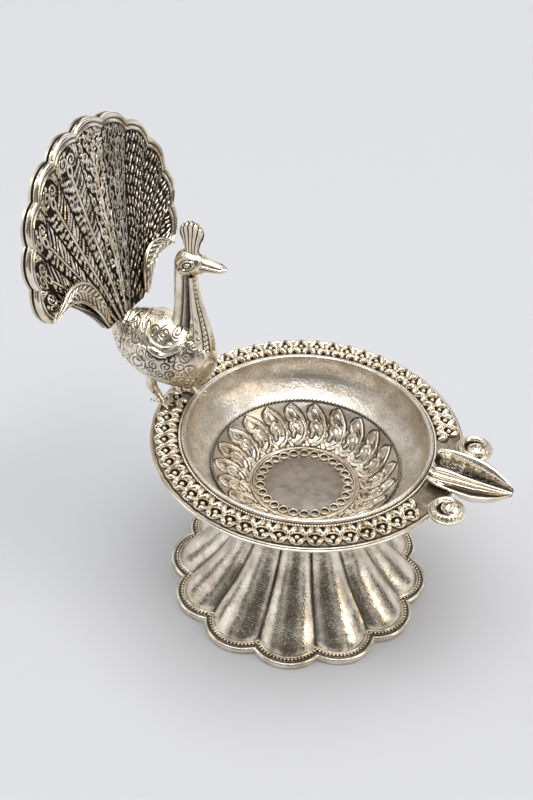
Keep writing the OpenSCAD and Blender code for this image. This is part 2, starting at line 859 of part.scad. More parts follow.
// Front strand from the breast to the throat, in the same terms as the neck
strap_shares = [
    [0.15, 0.22, 0.45, 0.55], [0.18, 0.32, 0.62, 0.75], [0.205, 0.42, 0.7, 0.76], [0.205, 0.52, 0.6, 0.62],
    [0.19, 0.62, 0.44, 0.46], [0.165, 0.72, 0.3, 0.36], [0.145, 0.82, 0.21, 0.3], [0.13, 0.92, 0.17, 0.28]
];
// Web between the two strands, in the same terms
web_shares = [
    [0.02, 0.36, 0.75, 0.4], [0.07, 0.53, 0.5, 0.3], [0.085, 0.7, 0.35, 0.22], [0.08, 0.92, 0.3, 0.22]
];

// Points in the bird's middle plane of the stations of a strand
function strand_points(shares) = [for (share = shares) [share[0] * body_len, 0, share[1] * head_z]];

// Rings that stand square to a path in the bird's middle plane
function neck_rings(shares) =
    let (path = strand_points(shares))
    [
        for (k = [0:len(path) - 1])
            let (way = path[min(k + 1, len(path) - 1)] - path[max(k - 1, 0)],
                 ahead = cross([0, 1, 0], way) / norm(way))
            oval(path[k], ahead, [0, 1, 0], shares[k][2] * neck_d / 2, shares[k][3] * neck_d / 2, section_steps)
    ];

// Distance of the nape behind the point between the feet, as a share of the head's length
head_back_share = 0.06;

module peacock_neck() {
    color(silver)
        at_bird()
            difference() {
                union() {
                    for (shares = [neck_shares, strap_shares, web_shares])
                        loft(neck_rings(shares));
                    loft([
                        for (share = head_shares)
                            cross_ring((share[0] - head_back_share) * head_len, 0, head_z + share[1] * head_h,
                                       share[3] * head_w / 2, share[2] * head_h / 2, section_steps)
                    ]);
                }
                body_solid(fit_clear / 2);
            }
}

crest_lobes = 5;
// Angle between the outer lobes of the crest
crest_spread = 34;
// Diameter of a lobe as a share of the crest's width, and the fall of the next lobes in height
crest_lobe_share = 0.3;
crest_fall_share = 0.06;
// Place of the crest on the head, along it and above its middle
crest_place_shares = [0.27, 0.4];
// Half of the crest's outline below its lobes, as shares of its width and its height
crest_shares = [[0.38, 0], [0.4, 0.5], [0.45, 0.88], [0, 1]];

module peacock_crest() {
    lobe_d = crest_w * crest_lobe_share;
    stem = crest_h - lobe_d / 2;
    half = [for (share = crest_shares) [share[0] * crest_w, share[1] * stem]];
    color(bright)
        at_bird()
            translate([
                head_len * crest_place_shares[0], crest_t / 2, head_z + head_h * crest_place_shares[1]
            ])
                rotate([90, 0, 0])
                    linear_extrude(crest_t) {
                        for (i = [0:crest_lobes - 1])
                            let (out = i - (crest_lobes - 1) / 2)
                            rotate(out * crest_spread / (crest_lobes - 1))
                                translate([0, stem * (1 - abs(out) * crest_fall_share)])
                                    circle(d = lobe_d, $fn = round_fn);
                        polygon(concat(half, [for (k = [len(half) - 2:-1:0]) [-half[k][0], half[k][1]]]));
                    }
}

// Place of the fan's root ahead of the rump and above the body's middle
fan_root_shares = [0.11, 0.35];
fan_root_x = -body_back + body_len * fan_root_shares[0];
fan_root_z = body_z + body_h * fan_root_shares[1];

// The fan stands in its own frame: X across it, Y up it and Z forward, with its root at the origin
module at_fan() {
    translate([fan_root_x, 0, fan_root_z])
        rotate([0, 0, -fan_yaw])
            rotate([0, -fan_lean, 0])
                multmatrix([[0, 0, 1, 0], [1, 0, 0, 0], [0, 1, 0, 0]])
                    children();
}

fan_pitch = fan_sweep / fan_lobes;
fan_steps = 4;
fan_rays = fan_lobes * fan_steps;
// Radius of the fan at the cusps between its lobes, as a share of its radius
fan_cusp_share = 0.955;

// Outline point of the fan at a step round it, drawn in by a distance
function fan_edge(i, inset) =
    let (angle = (i / fan_rays - 1 / 2) * fan_sweep,
         rounding = lobe_round(fan_r, fan_r * fan_cusp_share, fan_pitch / 2),
         within = (i % fan_steps) * fan_pitch / fan_steps - fan_pitch / 2,
         edge = lobe_edge(within, fan_r - rounding, rounding) - inset)
    [edge * sin(angle + fan_roll) - fan_shift, fan_rise + edge * cos(angle + fan_roll)];

// Point of the fan's root line on the ray at a step
function fan_foot(i) = [(i / fan_rays - 1 / 2) * stem_w, 0];

// Rise of the ray at a step above a straight line, halfway along it
function fan_bow(i) =
    let (side = 2 * i / fan_rays - 1)
    abs(side) ^ 3 * (side < 0 ? fan_bows[0] : fan_bows[1]);

// Point at a share of the way along the ray at a step, drawn back from there by a distance
function fan_at(i, share, back = 0) =
    let (way = fan_edge(i, 0) - fan_foot(i), s = share - back / norm(way))
    fan_foot(i) + s * way + [0, 4 * s * (1 - s) * fan_bow(i)];

// Place along a ray of each ring of the front plate, then the curl, the height of the ridges and the
// height of the double edge there, and the number of bead widths that the ring is drawn back
fan_ring_shares = [
    [0, 0, 0.2, 0, 0], [0.18, 0, 0.8, 0, 0], [0.4, 0, 1, 0, 0], [0.62, 0, 1, 0, 0], [0.8, 0.2, 1, 0, 0],
    [1, 0.7, 0.8, 0, 4.6], [1, 0.8, 0.5, 0.8, 3.6], [1, 0.9, 0.4, 0, 2.4], [1, 0.95, 0.2, 1, 1.4],
    [1, 1, 0.1, 0.9, 0.6], [1, 1, 0, 0.2, 0]
];
// Height of a feather across its width
ridge_shares = [0, 0.7, 1, 0.7];

// Point of a plate on the ray at a step and on one ring, above a base plane
function fan_point(i, ring, base) =
    let (p = fan_at(i, ring[0], ring[4] * edge_bead_w))
    [p[0], p[1], base + ring[1] * tip_curl];

// Closed plate of the fan on a base plane, with ridges of a given height on its front
module fan_plate(base, rings, ridges) {
    n = fan_rays + 1;
    m = len(rings);
    front = [
        for (ring = rings, i = [0:fan_rays])
            fan_point(i, ring, base + plate_t)
                + [0, 0, ridges * (ring[2] * ridge_shares[i % fan_steps] + ring[3])]
    ];
    back = [for (ring = rings, i = [0:fan_rays]) fan_point(i, ring, base)];
    shift = n * m;
    face = [
        for (j = [0:m - 2], i = [0:fan_rays - 1])
            let (a = j * n + i)
            each [[a, a + n, a + n + 1], [a, a + n + 1, a + 1]]
    ];
    hidden = [for (f = face) [f[2] + shift, f[1] + shift, f[0] + shift]];
    rim = concat(
        [for (i = [0:fan_rays - 1]) i],
        [for (j = [0:m - 2]) j * n + fan_rays],
        [for (i = [fan_rays:-1:1]) (m - 1) * n + i],
        [for (j = [m - 1:-1:1]) j * n]
    );
    edge = [
        for (k = [0:len(rim) - 1])
            let (a = rim[k], b = rim[(k + 1) % len(rim)])
            each [[a, b, b + shift], [a, b + shift, a + shift]]
    ];
    polyhedron(concat(front, back), concat(face, hidden, edge));
}

module tail_front_plate() {
    color(silver)
        at_bird()
            at_fan()
                fan_plate(plate_gap / 2, fan_ring_shares, ridge_h);
}

// The same for the back plate, which has no ridges
plain_ring_shares = [
    [0, 0, 0, 0, 0], [0.35, 0, 0, 0, 0], [0.7, 0, 0, 0, 0], [0.9, 0.4, 0, 0, 0], [1, 1, 0, 0, 0]
];

module tail_back_plate() {
    color(silver)
        at_bird()
            at_fan()
                fan_plate(-plate_gap / 2 - plate_t, plain_ring_shares, 0);
}

// Place of the spacer along the rays of the fan, and its width
spacer_share = 0.66;
spacer_w = 2;

// Strip between the plates, inside the part of the fan that stays flat
module tail_spacer() {
    outer = [for (i = [0:fan_rays]) fan_at(i, spacer_share)];
    inner = [for (i = [0:fan_rays]) fan_at(i, spacer_share - spacer_w / fan_r)];
    color(dark)
        at_bird()
            at_fan()
                translate([0, 0, -plate_gap / 2])
                    linear_extrude(plate_gap)
                        polygon(concat(outer, [for (i = [fan_rays:-1:0]) inner[i]]));
}

// Width of the tang, its depth in the body and its height between the plates, as shares of the
// fan's stem, the body's height and the rise of the fan's centre
tang_shares = [0.34, 0.26, 0.3];
tang_w = stem_w * tang_shares[0];
tang_deep = body_h * tang_shares[1];
tang_rise = fan_rise * tang_shares[2];

// The tang, grown by a clearance
module tang(grow = 0) {
    translate([-tang_w / 2 - grow, -tang_deep - grow, -plate_gap / 2 - grow])
        cube([tang_w + 2 * grow, tang_deep + tang_rise + grow, plate_gap + 2 * grow]);
}

module tail_tang() {
    color(dark)
        at_bird()
            at_fan()
                tang();
}

// Slot in the body that the tang sits in
module tail_slot() {
    at_fan()
        tang(fit_clear);
}

// Curled feather from the body's side along the fan's lower edge: distance along it, rise above
// the straight line, half width and half thickness
covert_shares = [
    [0, 0, 0.35, 0.5], [0.12, 0.1, 0.7, 0.9], [0.28, 0.19, 0.95, 1], [0.45, 0.22, 1, 1],
    [0.62, 0.19, 0.95, 1], [0.78, 0.12, 0.8, 0.9], [0.91, 0.05, 0.5, 0.7], [1, 0, 0.15, 0.3]
];

// Place of a curled feather's root along the fan's lower edge
covert_root_share = 0.04;

module tail_covert(side) {
    edge = side < 0 ? 0 : fan_rays;
    start = covert_root_share;
    reach = 1 - covert_w / 4 / fan_r - start;
    chord = fan_at(edge, start + reach) - fan_at(edge, start);
    over = side * [-chord[1], chord[0]] / norm(chord);
    front = plate_gap / 2 + plate_t + ridge_h;
    points = [
        for (share = covert_shares)
            let (p = fan_at(edge, start + share[0] * reach) + (share[1] + share[2] / 2) * covert_w * over)
            [p[0], p[1], front + share[3] * plate_t + share[0] * share[0] * tip_curl]
    ];
    rings = [
        for (k = [0:len(points) - 1])
            oval(points[k], [over[0], over[1], 0], [0, 0, side], covert_shares[k][2] * covert_w / 2,
                 covert_shares[k][3] * plate_t, tube_steps)
    ];
    at_bird()
        at_fan()
            loft(rings);
}

module tail_covert_left() {
    color(bright)
        tail_covert(1);
}

module tail_covert_right() {
    color(bright)
        tail_covert(-1);
}

foot_edge_strip();
foot_bead_wire();
pedestal_shell();
neck_collar();
centre_stud();
stud_washer();
stud_nut();
bowl_shell();
rosette_plate();
medallion_disc();
medallion_ring();
medallion_cups();
rim_band();
rim_scales_outer();
rim_scales_inner();
rim_edge_wire();
rim_milled_wire();
spout_trough();
spout_leaf();
scroll_left();
scroll_right();
leg_left();
leg_right();
leg_nuts();
peacock_body();
peacock_neck();
peacock_crest();
tail_tang();
tail_spacer();
tail_back_plate();
tail_front_plate();
tail_covert_left();
tail_covert_right();
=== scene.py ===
import functools
import math

import bpy
import numpy as np
from mathutils import Matrix, Vector


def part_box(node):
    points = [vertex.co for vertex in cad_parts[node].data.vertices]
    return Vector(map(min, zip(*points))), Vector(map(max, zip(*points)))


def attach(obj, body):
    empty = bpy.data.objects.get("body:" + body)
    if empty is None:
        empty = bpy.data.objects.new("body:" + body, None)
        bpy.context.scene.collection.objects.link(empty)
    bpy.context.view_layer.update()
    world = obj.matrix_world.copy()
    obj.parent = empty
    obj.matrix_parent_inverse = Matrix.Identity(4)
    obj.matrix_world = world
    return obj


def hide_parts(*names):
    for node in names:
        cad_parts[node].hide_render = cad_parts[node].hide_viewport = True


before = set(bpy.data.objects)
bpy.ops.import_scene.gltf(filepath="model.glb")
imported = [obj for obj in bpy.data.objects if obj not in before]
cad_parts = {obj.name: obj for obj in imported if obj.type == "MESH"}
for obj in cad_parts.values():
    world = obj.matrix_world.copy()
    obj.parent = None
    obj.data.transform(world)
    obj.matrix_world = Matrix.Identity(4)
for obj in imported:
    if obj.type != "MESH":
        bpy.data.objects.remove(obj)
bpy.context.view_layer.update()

# Camera. It looks down on the lamp from the front, from the side that its spout points to.
camera_place = Vector((0.1091, -0.3394, 0.3778))
camera_turn = 20.0
camera_down = 40.25
camera_roll = 2.78
camera = bpy.data.objects.new("camera", bpy.data.cameras.new("camera"))
camera.data.lens = 67.5
camera.data.sensor_width = 36
camera.matrix_world = (
    Matrix.Translation(camera_place)
    @ Matrix.Rotation(math.radians(camera_turn), 4, "Z")
    @ Matrix.Rotation(math.radians(90 - camera_down), 4, "X")
    @ Matrix.Rotation(math.radians(camera_roll), 4, "Z")
)
bpy.context.scene.collection.objects.link(camera)
bpy.context.scene.camera = camera
bpy.context.scene.view_settings.view_transform = "Standard"


# Light and floor. A tent of pale cloth stands round the lamp and is open towards the camera, with a
# soft box at each side and one over it. The floor is a sweep of matt pale grey paper.
def linear(colour):
    """An sRGB hex colour in linear light."""
    parts = [int(colour[k:k + 2], 16) / 255 for k in (1, 3, 5)]
    return [p / 12.92 if p <= 0.04045 else ((p + 0.055) / 1.055) ** 2.4 for p in parts] + [1]


def add(tree, kind, inputs=None, **settings):
    """Adds a node with its settings; each input takes a value or another node's output."""
    node = tree.nodes.new(kind)
    for name, value in settings.items():
        setattr(node, name, value)
    for name, value in (inputs or {}).items():
        if isinstance(value, bpy.types.NodeSocket):
            tree.links.new(value, node.inputs[name])
        else:
            node.inputs[name].default_value = value
    return node


def calc(tree, operation, *values):
    """The result of one sum on values or on other nodes' outputs."""
    return add(tree, "ShaderNodeMath", dict(enumerate(values)), operation=operation).outputs[0]


def ranged(tree, value, low=0.0, high=1.0, to_low=0.0, to_high=1.0):
    """A value carried from one range to another and held inside it."""
    limits = {"From Min": low, "From Max": high, "To Min": to_low, "To Max": to_high}
    return add(tree, "ShaderNodeMapRange", {"Value": value, **limits}).outputs["Result"]


def mixed(tree, share, first, second):
    """A colour between two others."""
    return add(tree, "ShaderNodeMix", {0: share, 6: first, 7: second}, data_type="RGBA").outputs[2]


cloth_dark = "#5A5A5A"
cloth_pale = "#F6F5F5"
opening_colour = "#5C5A56"
backdrop_colour = "#DADBDE"
panel_count = 7
first_panel_turn = 0.8
panel_softness = (-0.75, 0.1)
opening_way = (0.30, -0.86, 0.42)
opening_softness = (0.72, 0.92)
world = bpy.data.worlds.new("light_tent")
world.use_nodes = True
tree = world.node_tree
tree.nodes.clear()
way = add(tree, "ShaderNodeTexCoord").outputs["Generated"]
parts = add(tree, "ShaderNodeSeparateXYZ", {0: way}).outputs
turn = calc(tree, "ARCTAN2", parts[1], parts[0])
panel = calc(tree, "SINE", calc(tree, "MULTIPLY_ADD", turn, panel_count, first_panel_turn))
cloth = mixed(tree, ranged(tree, panel, *panel_softness), linear(cloth_dark), linear(cloth_pale))
toward = add(tree, "ShaderNodeVectorMath", {0: way, 1: opening_way}, operation="DOT_PRODUCT")
toward = toward.outputs["Value"]
tent = mixed(tree, ranged(tree, toward, *opening_softness), cloth, linear(opening_colour))
lit = add(tree, "ShaderNodeBackground", {"Color": tent}).outputs[0]
seen = add(tree, "ShaderNodeBackground", {"Color": linear(backdrop_colour)}).outputs[0]
ray = add(tree, "ShaderNodeLightPath").outputs["Is Camera Ray"]
either = add(tree, "ShaderNodeMixShader", {0: ray, 1: lit, 2: seen}).outputs[0]
add(tree, "ShaderNodeOutputWorld", {0: either})
bpy.context.scene.world = world

lamp_middle = Vector((0, 0, 0.07))
soft_boxes = {
    "soft_box_left": ((-2.50, -0.60, 1.90), 0.60, 1.30, 9.5, "#FAFBFF"),
    "soft_box_right": ((2.50, -0.30, 1.60), 0.60, 1.60, 12.0, "#FFEFD8"),
    "soft_box_top": ((0.15, -0.05, 3.00), 3.00, 2.40, 74.0, "#FDFCFF"),
}
for name, (place, width, height, power, tint) in soft_boxes.items():
    soft_box = bpy.data.lights.new(name, "AREA")
    soft_box.color = linear(tint)[:3]
    soft_box.shape = "RECTANGLE"
    soft_box.size = width
    soft_box.size_y = height
    soft_box.energy = power
    stand = bpy.data.objects.new(name, soft_box)
    turned_to = (lamp_middle - Vector(place)).to_track_quat("-Z", "Y")
    stand.matrix_world = Matrix.Translation(place) @ turned_to.to_matrix().to_4x4()
    bpy.context.scene.collection.objects.link(stand)

floor_half = 3.0
paper_colour = "#CACCCF"
paper_rough = 0.9
grain_scale = 900
grain_strength = 0.05
grain_depth = 0.0002
floor_mesh = bpy.data.meshes.new("paper_floor")
floor_corners = [(x * floor_half, y * floor_half, 0) for x, y in ((-1, -1), (1, -1), (1, 1), (-1, 1))]
floor_mesh.from_pydata(floor_corners, [], [(0, 1, 2, 3)])
floor = bpy.data.objects.new("paper_floor", floor_mesh)
bpy.context.scene.collection.objects.link(floor)
paper = bpy.data.materials.new("matt_paper")
paper.use_nodes = True
tree = paper.node_tree
place = add(tree, "ShaderNodeTexCoord").outputs["Object"]
grain = add(tree, "ShaderNodeTexNoise", {"Vector": place, "Scale": grain_scale}).outputs[0]
grain_inputs = {"Height": grain, "Strength": grain_strength, "Distance": grain_depth}
paper_bump = add(tree, "ShaderNodeBump", grain_inputs)
paper_shader = tree.nodes["Principled BSDF"]
paper_shader.inputs["Base Color"].default_value = linear(paper_colour)
paper_shader.inputs["Roughness"].default_value = paper_rough
tree.links.new(paper_bump.outputs[0], paper_shader.inputs["Normal"])
floor_mesh.materials.append(paper)


# Foot. A scalloped strip with a rounded edge stands on the floor. It is nickel silver, struck from
# sheet, oxidised dark and rubbed bright again on what stands up.
mm = 0.001
scratch_mm = 1.5
scratch_w = 0.022
scratch_gaps = (0.47, 0.53)
stain_range = (0.42, 0.66)
recess_rough = 0.5
wave_depth = 0.35
crease_angle = 50


def whole_turn(count):
    """Angles in degrees, evenly round a circle."""
    return np.arange(count) * 360 / count


def new_metal(name):
    """A new material with its nodes, and the place on the object that they read."""
    material = bpy.data.materials.new(name)
    material.use_nodes = True
    return material, material.node_tree, add(material.node_tree, "ShaderNodeTexCoord").outputs["Object"]


def noise(tree, place, size_mm, detail, **more):
    """Cloudy spots of a real size."""
    inputs = {"Vector": place, "Scale": 1 / (size_mm * mm), "Detail": detail, **more}
    return add(tree, "ShaderNodeTexNoise", inputs).outputs[0]


def dented(tree, height, depth_mm, **more):
    """A surface that rises and sinks with a height, to a real depth."""
    return add(tree, "ShaderNodeBump", {"Height": height, "Distance": depth_mm * mm, **more}).outputs[0]


def coat(tree, colour, rough, normal):
    """Makes the shader bare metal with a colour, a roughness and a surface."""
    shader = tree.nodes["Principled BSDF"]
    shader.inputs["Metallic"].default_value = 1.0
    for name, output in (("Base Color", colour), ("Roughness", rough), ("Normal", normal)):
        tree.links.new(output, shader.inputs[name])


def silver(name, bright, worn, recess, fleck_mm, fleck_depth, shine, stain_mm, grime, scratch, level=None):
    """Oxidised nickel silver: dark where the relief is low, with stains and flecks of a real size.

    What stands up is bright, with brown-grey stains, and the hollows are near black. On some pieces the
    relief also holds painted shade, where shade falls between or beside parts. Fine wandering scratches
    break up the reflections. A level takes the place of the relief.
    """
    material, tree, place = new_metal(name)
    relief = level
    if level is None:
        relief = add(tree, "ShaderNodeAttribute", attribute_name="relief").outputs["Fac"]
    stain = noise(tree, place, stain_mm, 3.0)
    fleck = noise(tree, place, fleck_mm, 4.0, Roughness=0.6, Distortion=0.4)
    wander = noise(tree, place, scratch_mm, 2.0, Distortion=1.5)
    away = calc(tree, "ABSOLUTE", calc(tree, "SUBTRACT", wander, 0.5))
    fine = ranged(tree, away, high=scratch_w, to_low=scratch, to_high=0.0)
    line = calc(tree, "MULTIPLY", fine, ranged(tree, fleck, *scratch_gaps))
    scored = calc(tree, "SUBTRACT", calc(tree, "MULTIPLY_ADD", fleck, grime, relief), line)
    clean = ranged(tree, scored, 0.5 * grime + 0.08, 0.5 * grime + 0.62)
    patch = ranged(tree, stain, *stain_range)
    metal = mixed(tree, patch, linear(bright), linear(worn))
    dull = ranged(tree, clean, to_low=recess_rough, to_high=shine)
    spread = calc(tree, "MULTIPLY_ADD", patch, 0.08, dull)
    waves = dented(tree, stain, wave_depth)
    dents = dented(tree, calc(tree, "MULTIPLY_ADD", line, -0.3, fleck), fleck_depth, Normal=waves)
    coat(tree, mixed(tree, clean, linear(recess), metal), spread, dents)
    return material


def weave(rows, columns, close_rows, close_columns):
    """Corner numbers of the quads of a grid of points, joined end to end where it closes."""
    steps = (np.arange(rows - (not close_rows)), np.arange(columns - (not close_columns)))
    j, i = np.meshgrid(*steps, indexing="ij")
    j_next = (j + 1) % rows
    i_next = (i + 1) % columns
    corners = (j * columns + i, j * columns + i_next, j_next * columns + i_next, j_next * columns + i)
    return np.stack(corners, -1).reshape(-1, 4)


def looped(rows, relief):
    """Points, faces and relief of a solid whose rows of points close both ways, like a ring."""
    rows = np.asarray(rows)
    relief = np.reshape(relief, (len(rows), -1))
    faces = weave(*rows.shape[:2], True, True).tolist()
    return rows, faces, np.broadcast_to(relief, rows.shape[:2]).ravel()


def piece(name, points, faces, relief, material, slot, *nodes):
    """Makes a closed mesh from points in millimetres and puts it on the lamp in place of CAD nodes."""
    mesh = bpy.data.meshes.new(name)
    points = np.asarray(points, float).reshape(-1, 3)
    mesh.from_pydata((points * mm).tolist(), [], faces)
    mesh.calc_loop_triangles()
    corners = np.empty(len(mesh.loop_triangles) * 3, int)
    mesh.loop_triangles.foreach_get("vertices", corners)
    a, b, c = points[corners.reshape(-1, 3)].transpose(1, 0, 2)
    if np.einsum("ij,ij->", a, np.cross(b, c)) < 0:
        mesh.flip_normals()
    # The relief attribute holds the oxide level and, on some pieces, painted shade.
    heights = mesh.attributes.new("relief", "FLOAT", "POINT")
    heights.data.foreach_set("value", np.broadcast_to(relief, len(points)).astype(np.float32).ravel())
    mesh.shade_smooth()
    mesh.set_sharp_from_angle(angle=math.radians(crease_angle))
    mesh.materials.append(material)
    thing = bpy.data.objects.new(name, mesh)
    bpy.context.scene.collection.objects.link(thing)
    if slot:
        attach(thing, "root")
        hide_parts(*nodes)
    return thing


def span(node):
    """Lowest and highest corner of a CAD node, in millimetres."""
    return [np.array(corner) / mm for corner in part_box(node)]


lobe_count = 12
foot_tip_r = 43.8
foot_cusp_r = 40.0
foot_opening_r = 33.0
foot_h = span("foot_edge_strip")[1][2]


def lobes(angle, tip, cusp, inset=0.0, half=180 / lobe_count):
    """Distance to a scalloped outline at angles in degrees, drawn in by an inset; half is half a lobe."""
    chord = cusp * math.sin(math.radians(half))
    rise = tip - cusp * math.cos(math.radians(half))
    rounding = (chord * chord + rise * rise) / (2 * rise)
    within = np.radians(angle % (2 * half) - half)
    middle = tip - rounding
    return middle * np.cos(within) + np.sqrt((rounding - inset) ** 2 - (middle * np.sin(within)) ** 2)


def around(radius, height, angle):
    """Points at a distance from the axis and a height, at angles in degrees."""
    height = np.broadcast_to(height, angle.shape)
    return np.stack([radius * np.cos(np.radians(angle)), radius * np.sin(np.radians(angle)), height], -1)


pressed_silver = silver("pressed_nickel_silver", "#F9F0E0", "#CDC0AC", "#3A332A", 0.7, 0.07, 0.09,
                        stain_mm=7.0, grime=0.4, scratch=0.85)
foot_angles = whole_turn(lobe_count * 40)
strip_stations = [
    (0.5, 0, 0.3), (0.12, 0.1, 0.6), (0, 0.25, 0.8), (0, 0.62, 1), (0.1, 0.82, 1), (0.3, 0.94, 1),
    (0.6, 1, 1), (0.95, 0.97, 1), (1.2, 0.84, 0.3), (1.25, 0.5, 0.3),
]
rows = [around(lobes(foot_angles, foot_tip_r, foot_cusp_r, inset), share * foot_h, foot_angles)
        for inset, share, _ in strip_stations]
rows += [around(foot_opening_r, share * foot_h, foot_angles) for share in (0.5, 0)]
strip_relief = [relief for _, _, relief in strip_stations] + [0.3, 0.3]
piece("foot_strip", *looped(rows, strip_relief), pressed_silver, "worn_silver", "foot_edge_strip")


# Beads on the foot. A line of small beads runs round the border inside the strip, punched one by one
# with the same tool.
def copies(name, spots, pattern, material, slot, *nodes):
    """Sets a copy of a pattern, turned to face away from the axis, at each of a row of spots."""
    tree = bpy.data.node_groups.new(name, "GeometryNodeTree")
    tree.interface.new_socket("Spots", in_out="INPUT", socket_type="NodeSocketGeometry")
    pattern_socket = tree.interface.new_socket("Pattern", in_out="INPUT", socket_type="NodeSocketObject")
    metal_socket = tree.interface.new_socket("Metal", in_out="INPUT", socket_type="NodeSocketMaterial")
    tree.interface.new_socket("Pieces", in_out="OUTPUT", socket_type="NodeSocketGeometry")
    given = add(tree, "NodeGroupInput").outputs
    place = add(tree, "GeometryNodeInputPosition").outputs[0]
    outward = add(tree, "ShaderNodeVectorMath", {0: place, 1: (1, 1, 0)}, operation="MULTIPLY").outputs[0]
    facing = add(tree, "FunctionNodeAlignRotationToVector", {"Vector": outward}, axis="X", pivot_axis="Z")
    shape = add(tree, "GeometryNodeObjectInfo", {"Object": given["Pattern"]}).outputs["Geometry"]
    set_out = add(tree, "GeometryNodeInstanceOnPoints", {"Points": given["Spots"], "Instance": shape,
                                                        "Rotation": facing.outputs[0]})
    solid = add(tree, "GeometryNodeRealizeInstances", {"Geometry": set_out.outputs[0]})
    clad = add(tree, "GeometryNodeSetMaterial", {"Geometry": solid.outputs[0], "Material": given["Metal"]})
    add(tree, "NodeGroupOutput", {0: clad.outputs[0]})
    base = bpy.data.meshes.new(name + "_spots")
    base.from_pydata((np.asarray(spots) * mm).tolist(), [], [])
    holder = bpy.data.objects.new(name + "_spots", base)
    bpy.context.scene.collection.objects.link(holder)
    modifier = holder.modifiers.new("copies", "NODES")
    modifier.node_group = tree
    modifier[pattern_socket.identifier] = pattern
    modifier[metal_socket.identifier] = material
    now = bpy.context.evaluated_depsgraph_get()
    mesh = bpy.data.meshes.new_from_object(holder.evaluated_get(now))
    mesh.name = name
    thing = bpy.data.objects.new(name, mesh)
    bpy.context.scene.collection.objects.link(thing)
    holder.modifiers.clear()
    bpy.data.objects.remove(holder)
    bpy.data.objects.remove(pattern)
    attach(thing, "root")
    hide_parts(*nodes)
    return thing


def capped(rings):
    """Points and faces of a solid through closed rings, with a point in the middle of each end."""
    rings = np.asarray(rings, float)
    count, sides = rings.shape[:2]
    points = np.concatenate([rings.reshape(-1, 3), [rings[0].mean(0), rings[-1].mean(0)]])
    faces = weave(count, sides, False, True).tolist()
    first = count * sides
    last = (count - 1) * sides
    faces += [[first, (k + 1) % sides, k] for k in range(sides)]
    faces += [[first + 1, last + k, last + (k + 1) % sides] for k in range(sides)]
    return points, faces


def ball(radius, rings, sides):
    """Points and faces of a small ball with its middle at the origin."""
    down = np.radians(np.linspace(0, 180, rings + 2)[1:-1])
    turn = np.radians(whole_turn(sides))
    points = [[radius * math.sin(d) * math.cos(t), radius * math.sin(d) * math.sin(t), radius * math.cos(d)]
              for d in down for t in turn]
    return capped(np.array(points).reshape(rings, sides, 3))


bead_count = 235
bead_d = 0.95
bead_inset = 2.1
bead_z = span("foot_bead_wire")[0][2] + 0.05
bead_angles = np.arange(0, 360, 0.25)
bead_line = around(lobes(bead_angles, foot_tip_r, foot_cusp_r, bead_inset), bead_z, bead_angles)
steps = np.linalg.norm(np.roll(bead_line, -1, 0) - bead_line, axis=1)
walked = np.concatenate([[0], np.cumsum(steps)])
stops = np.arange(bead_count) * walked[-1] / bead_count
closed_line = np.concatenate([bead_line, bead_line[:1]])
bead_spots = np.stack([np.interp(stops, walked, closed_line[:, axis]) for axis in range(3)], -1)
bead = piece("bead", *ball(bead_d / 2, rings=5, sides=8), 1.0, pressed_silver, None)
copies("foot_beads", bead_spots, bead, pressed_silver, "polished_silver", "foot_bead_wire")


# Pedestal. One sheet is raised into twelve round flutes that narrow to the neck, with a border that
# follows the lobes of the foot. Wear has polished the flutes, and the valleys between stay dark.
def smooth(low, high, value):
    """Rises softly from 0 at low to 1 at high."""
    share = np.clip((value - low) / (high - low), 0, 1)
    return share * share * (3 - 2 * share)


def follow(table, at):
    """A smooth curve through the rows of a table, whose first column is the place along it."""
    table = np.array(table, float)
    x = table[:, 0]
    y = table[:, 1:]
    slope = np.gradient(y, x, axis=0)
    k = np.clip(np.searchsorted(x, at, side="right") - 1, 0, len(x) - 2)
    gap = (x[k + 1] - x[k])[:, None]
    t = (at - x[k])[:, None] / gap
    rise = (1 + 2 * t) * (1 - t) ** 2 * y[k] + t * t * (3 - 2 * t) * y[k + 1]
    return rise + gap * (t * (1 - t) ** 2 * slope[k] + t * t * (t - 1) * slope[k + 1])


flute_shares = [
    [0, 1], [0.05, 0.955], [0.12, 0.86], [0.21, 0.72], [0.325, 0.565], [0.46, 0.41], [0.6, 0.28],
    [0.74, 0.17], [0.88, 0.07], [1, 0],
]
flute_tip_r = 40.5
flute_valley_r = 36.0
neck_tip_r = 17.0
neck_valley_r = 14.8
pedestal_wall = 1.5
pedestal_top_z = span("pedestal_shell")[1][2]
stud_hole_r = 2.65
border_inside = 1.35
flute_angles = whole_turn(lobe_count * 44)
half_flute = 180 / lobe_count
from_ridge = np.abs(flute_angles % (2 * half_flute) - half_flute) / half_flute


def flute_row(along, out, wall):
    """One row of the flutes: its height and its distance out, as shares, drawn in by a wall."""
    tip = neck_tip_r + out * (flute_tip_r - neck_tip_r) - wall
    valley = neck_valley_r + out * (flute_valley_r - neck_valley_r) - wall
    height = foot_h + along * (pedestal_top_z - foot_h)
    return around(lobes(flute_angles, tip, valley), height, flute_angles)


border = [
    (1.3, -0.5, 0.1), (1.32, -0.06, 0.2), (1.45, 0, 0.3), (1.6, -0.14, 0.05), (2.05, -0.2, 0),
    (2.5, -0.14, 0.05), (2.6, 0.05, 0.4), (2.75, 0.28, 0.9), (2.95, 0.34, 1), (3.15, 0.22, 0.8),
    (3.25, -0.05, 0.1), (3.3, -0.1, 0.05),
]
rows = [around(lobes(flute_angles, foot_tip_r, foot_cusp_r, inset), foot_h + rise, flute_angles)
        for inset, rise, _ in border]
relief = [height for _, _, height in border]
along = np.linspace(0, 1, 74) ** 1.25
for share, (out,) in zip(along, follow(flute_shares, along)):
    rows.append(flute_row(share, out, 0))
    relief.append(0.25 + 0.75 * smooth(1.0, 0.8, from_ridge) * smooth(-0.01, 0.03, share))
for z in (pedestal_top_z, pedestal_top_z - pedestal_wall):
    rows.append(around(stud_hole_r, z, flute_angles))
    relief.append(0.4)
inner = np.linspace(0.97, 0.02, 14)
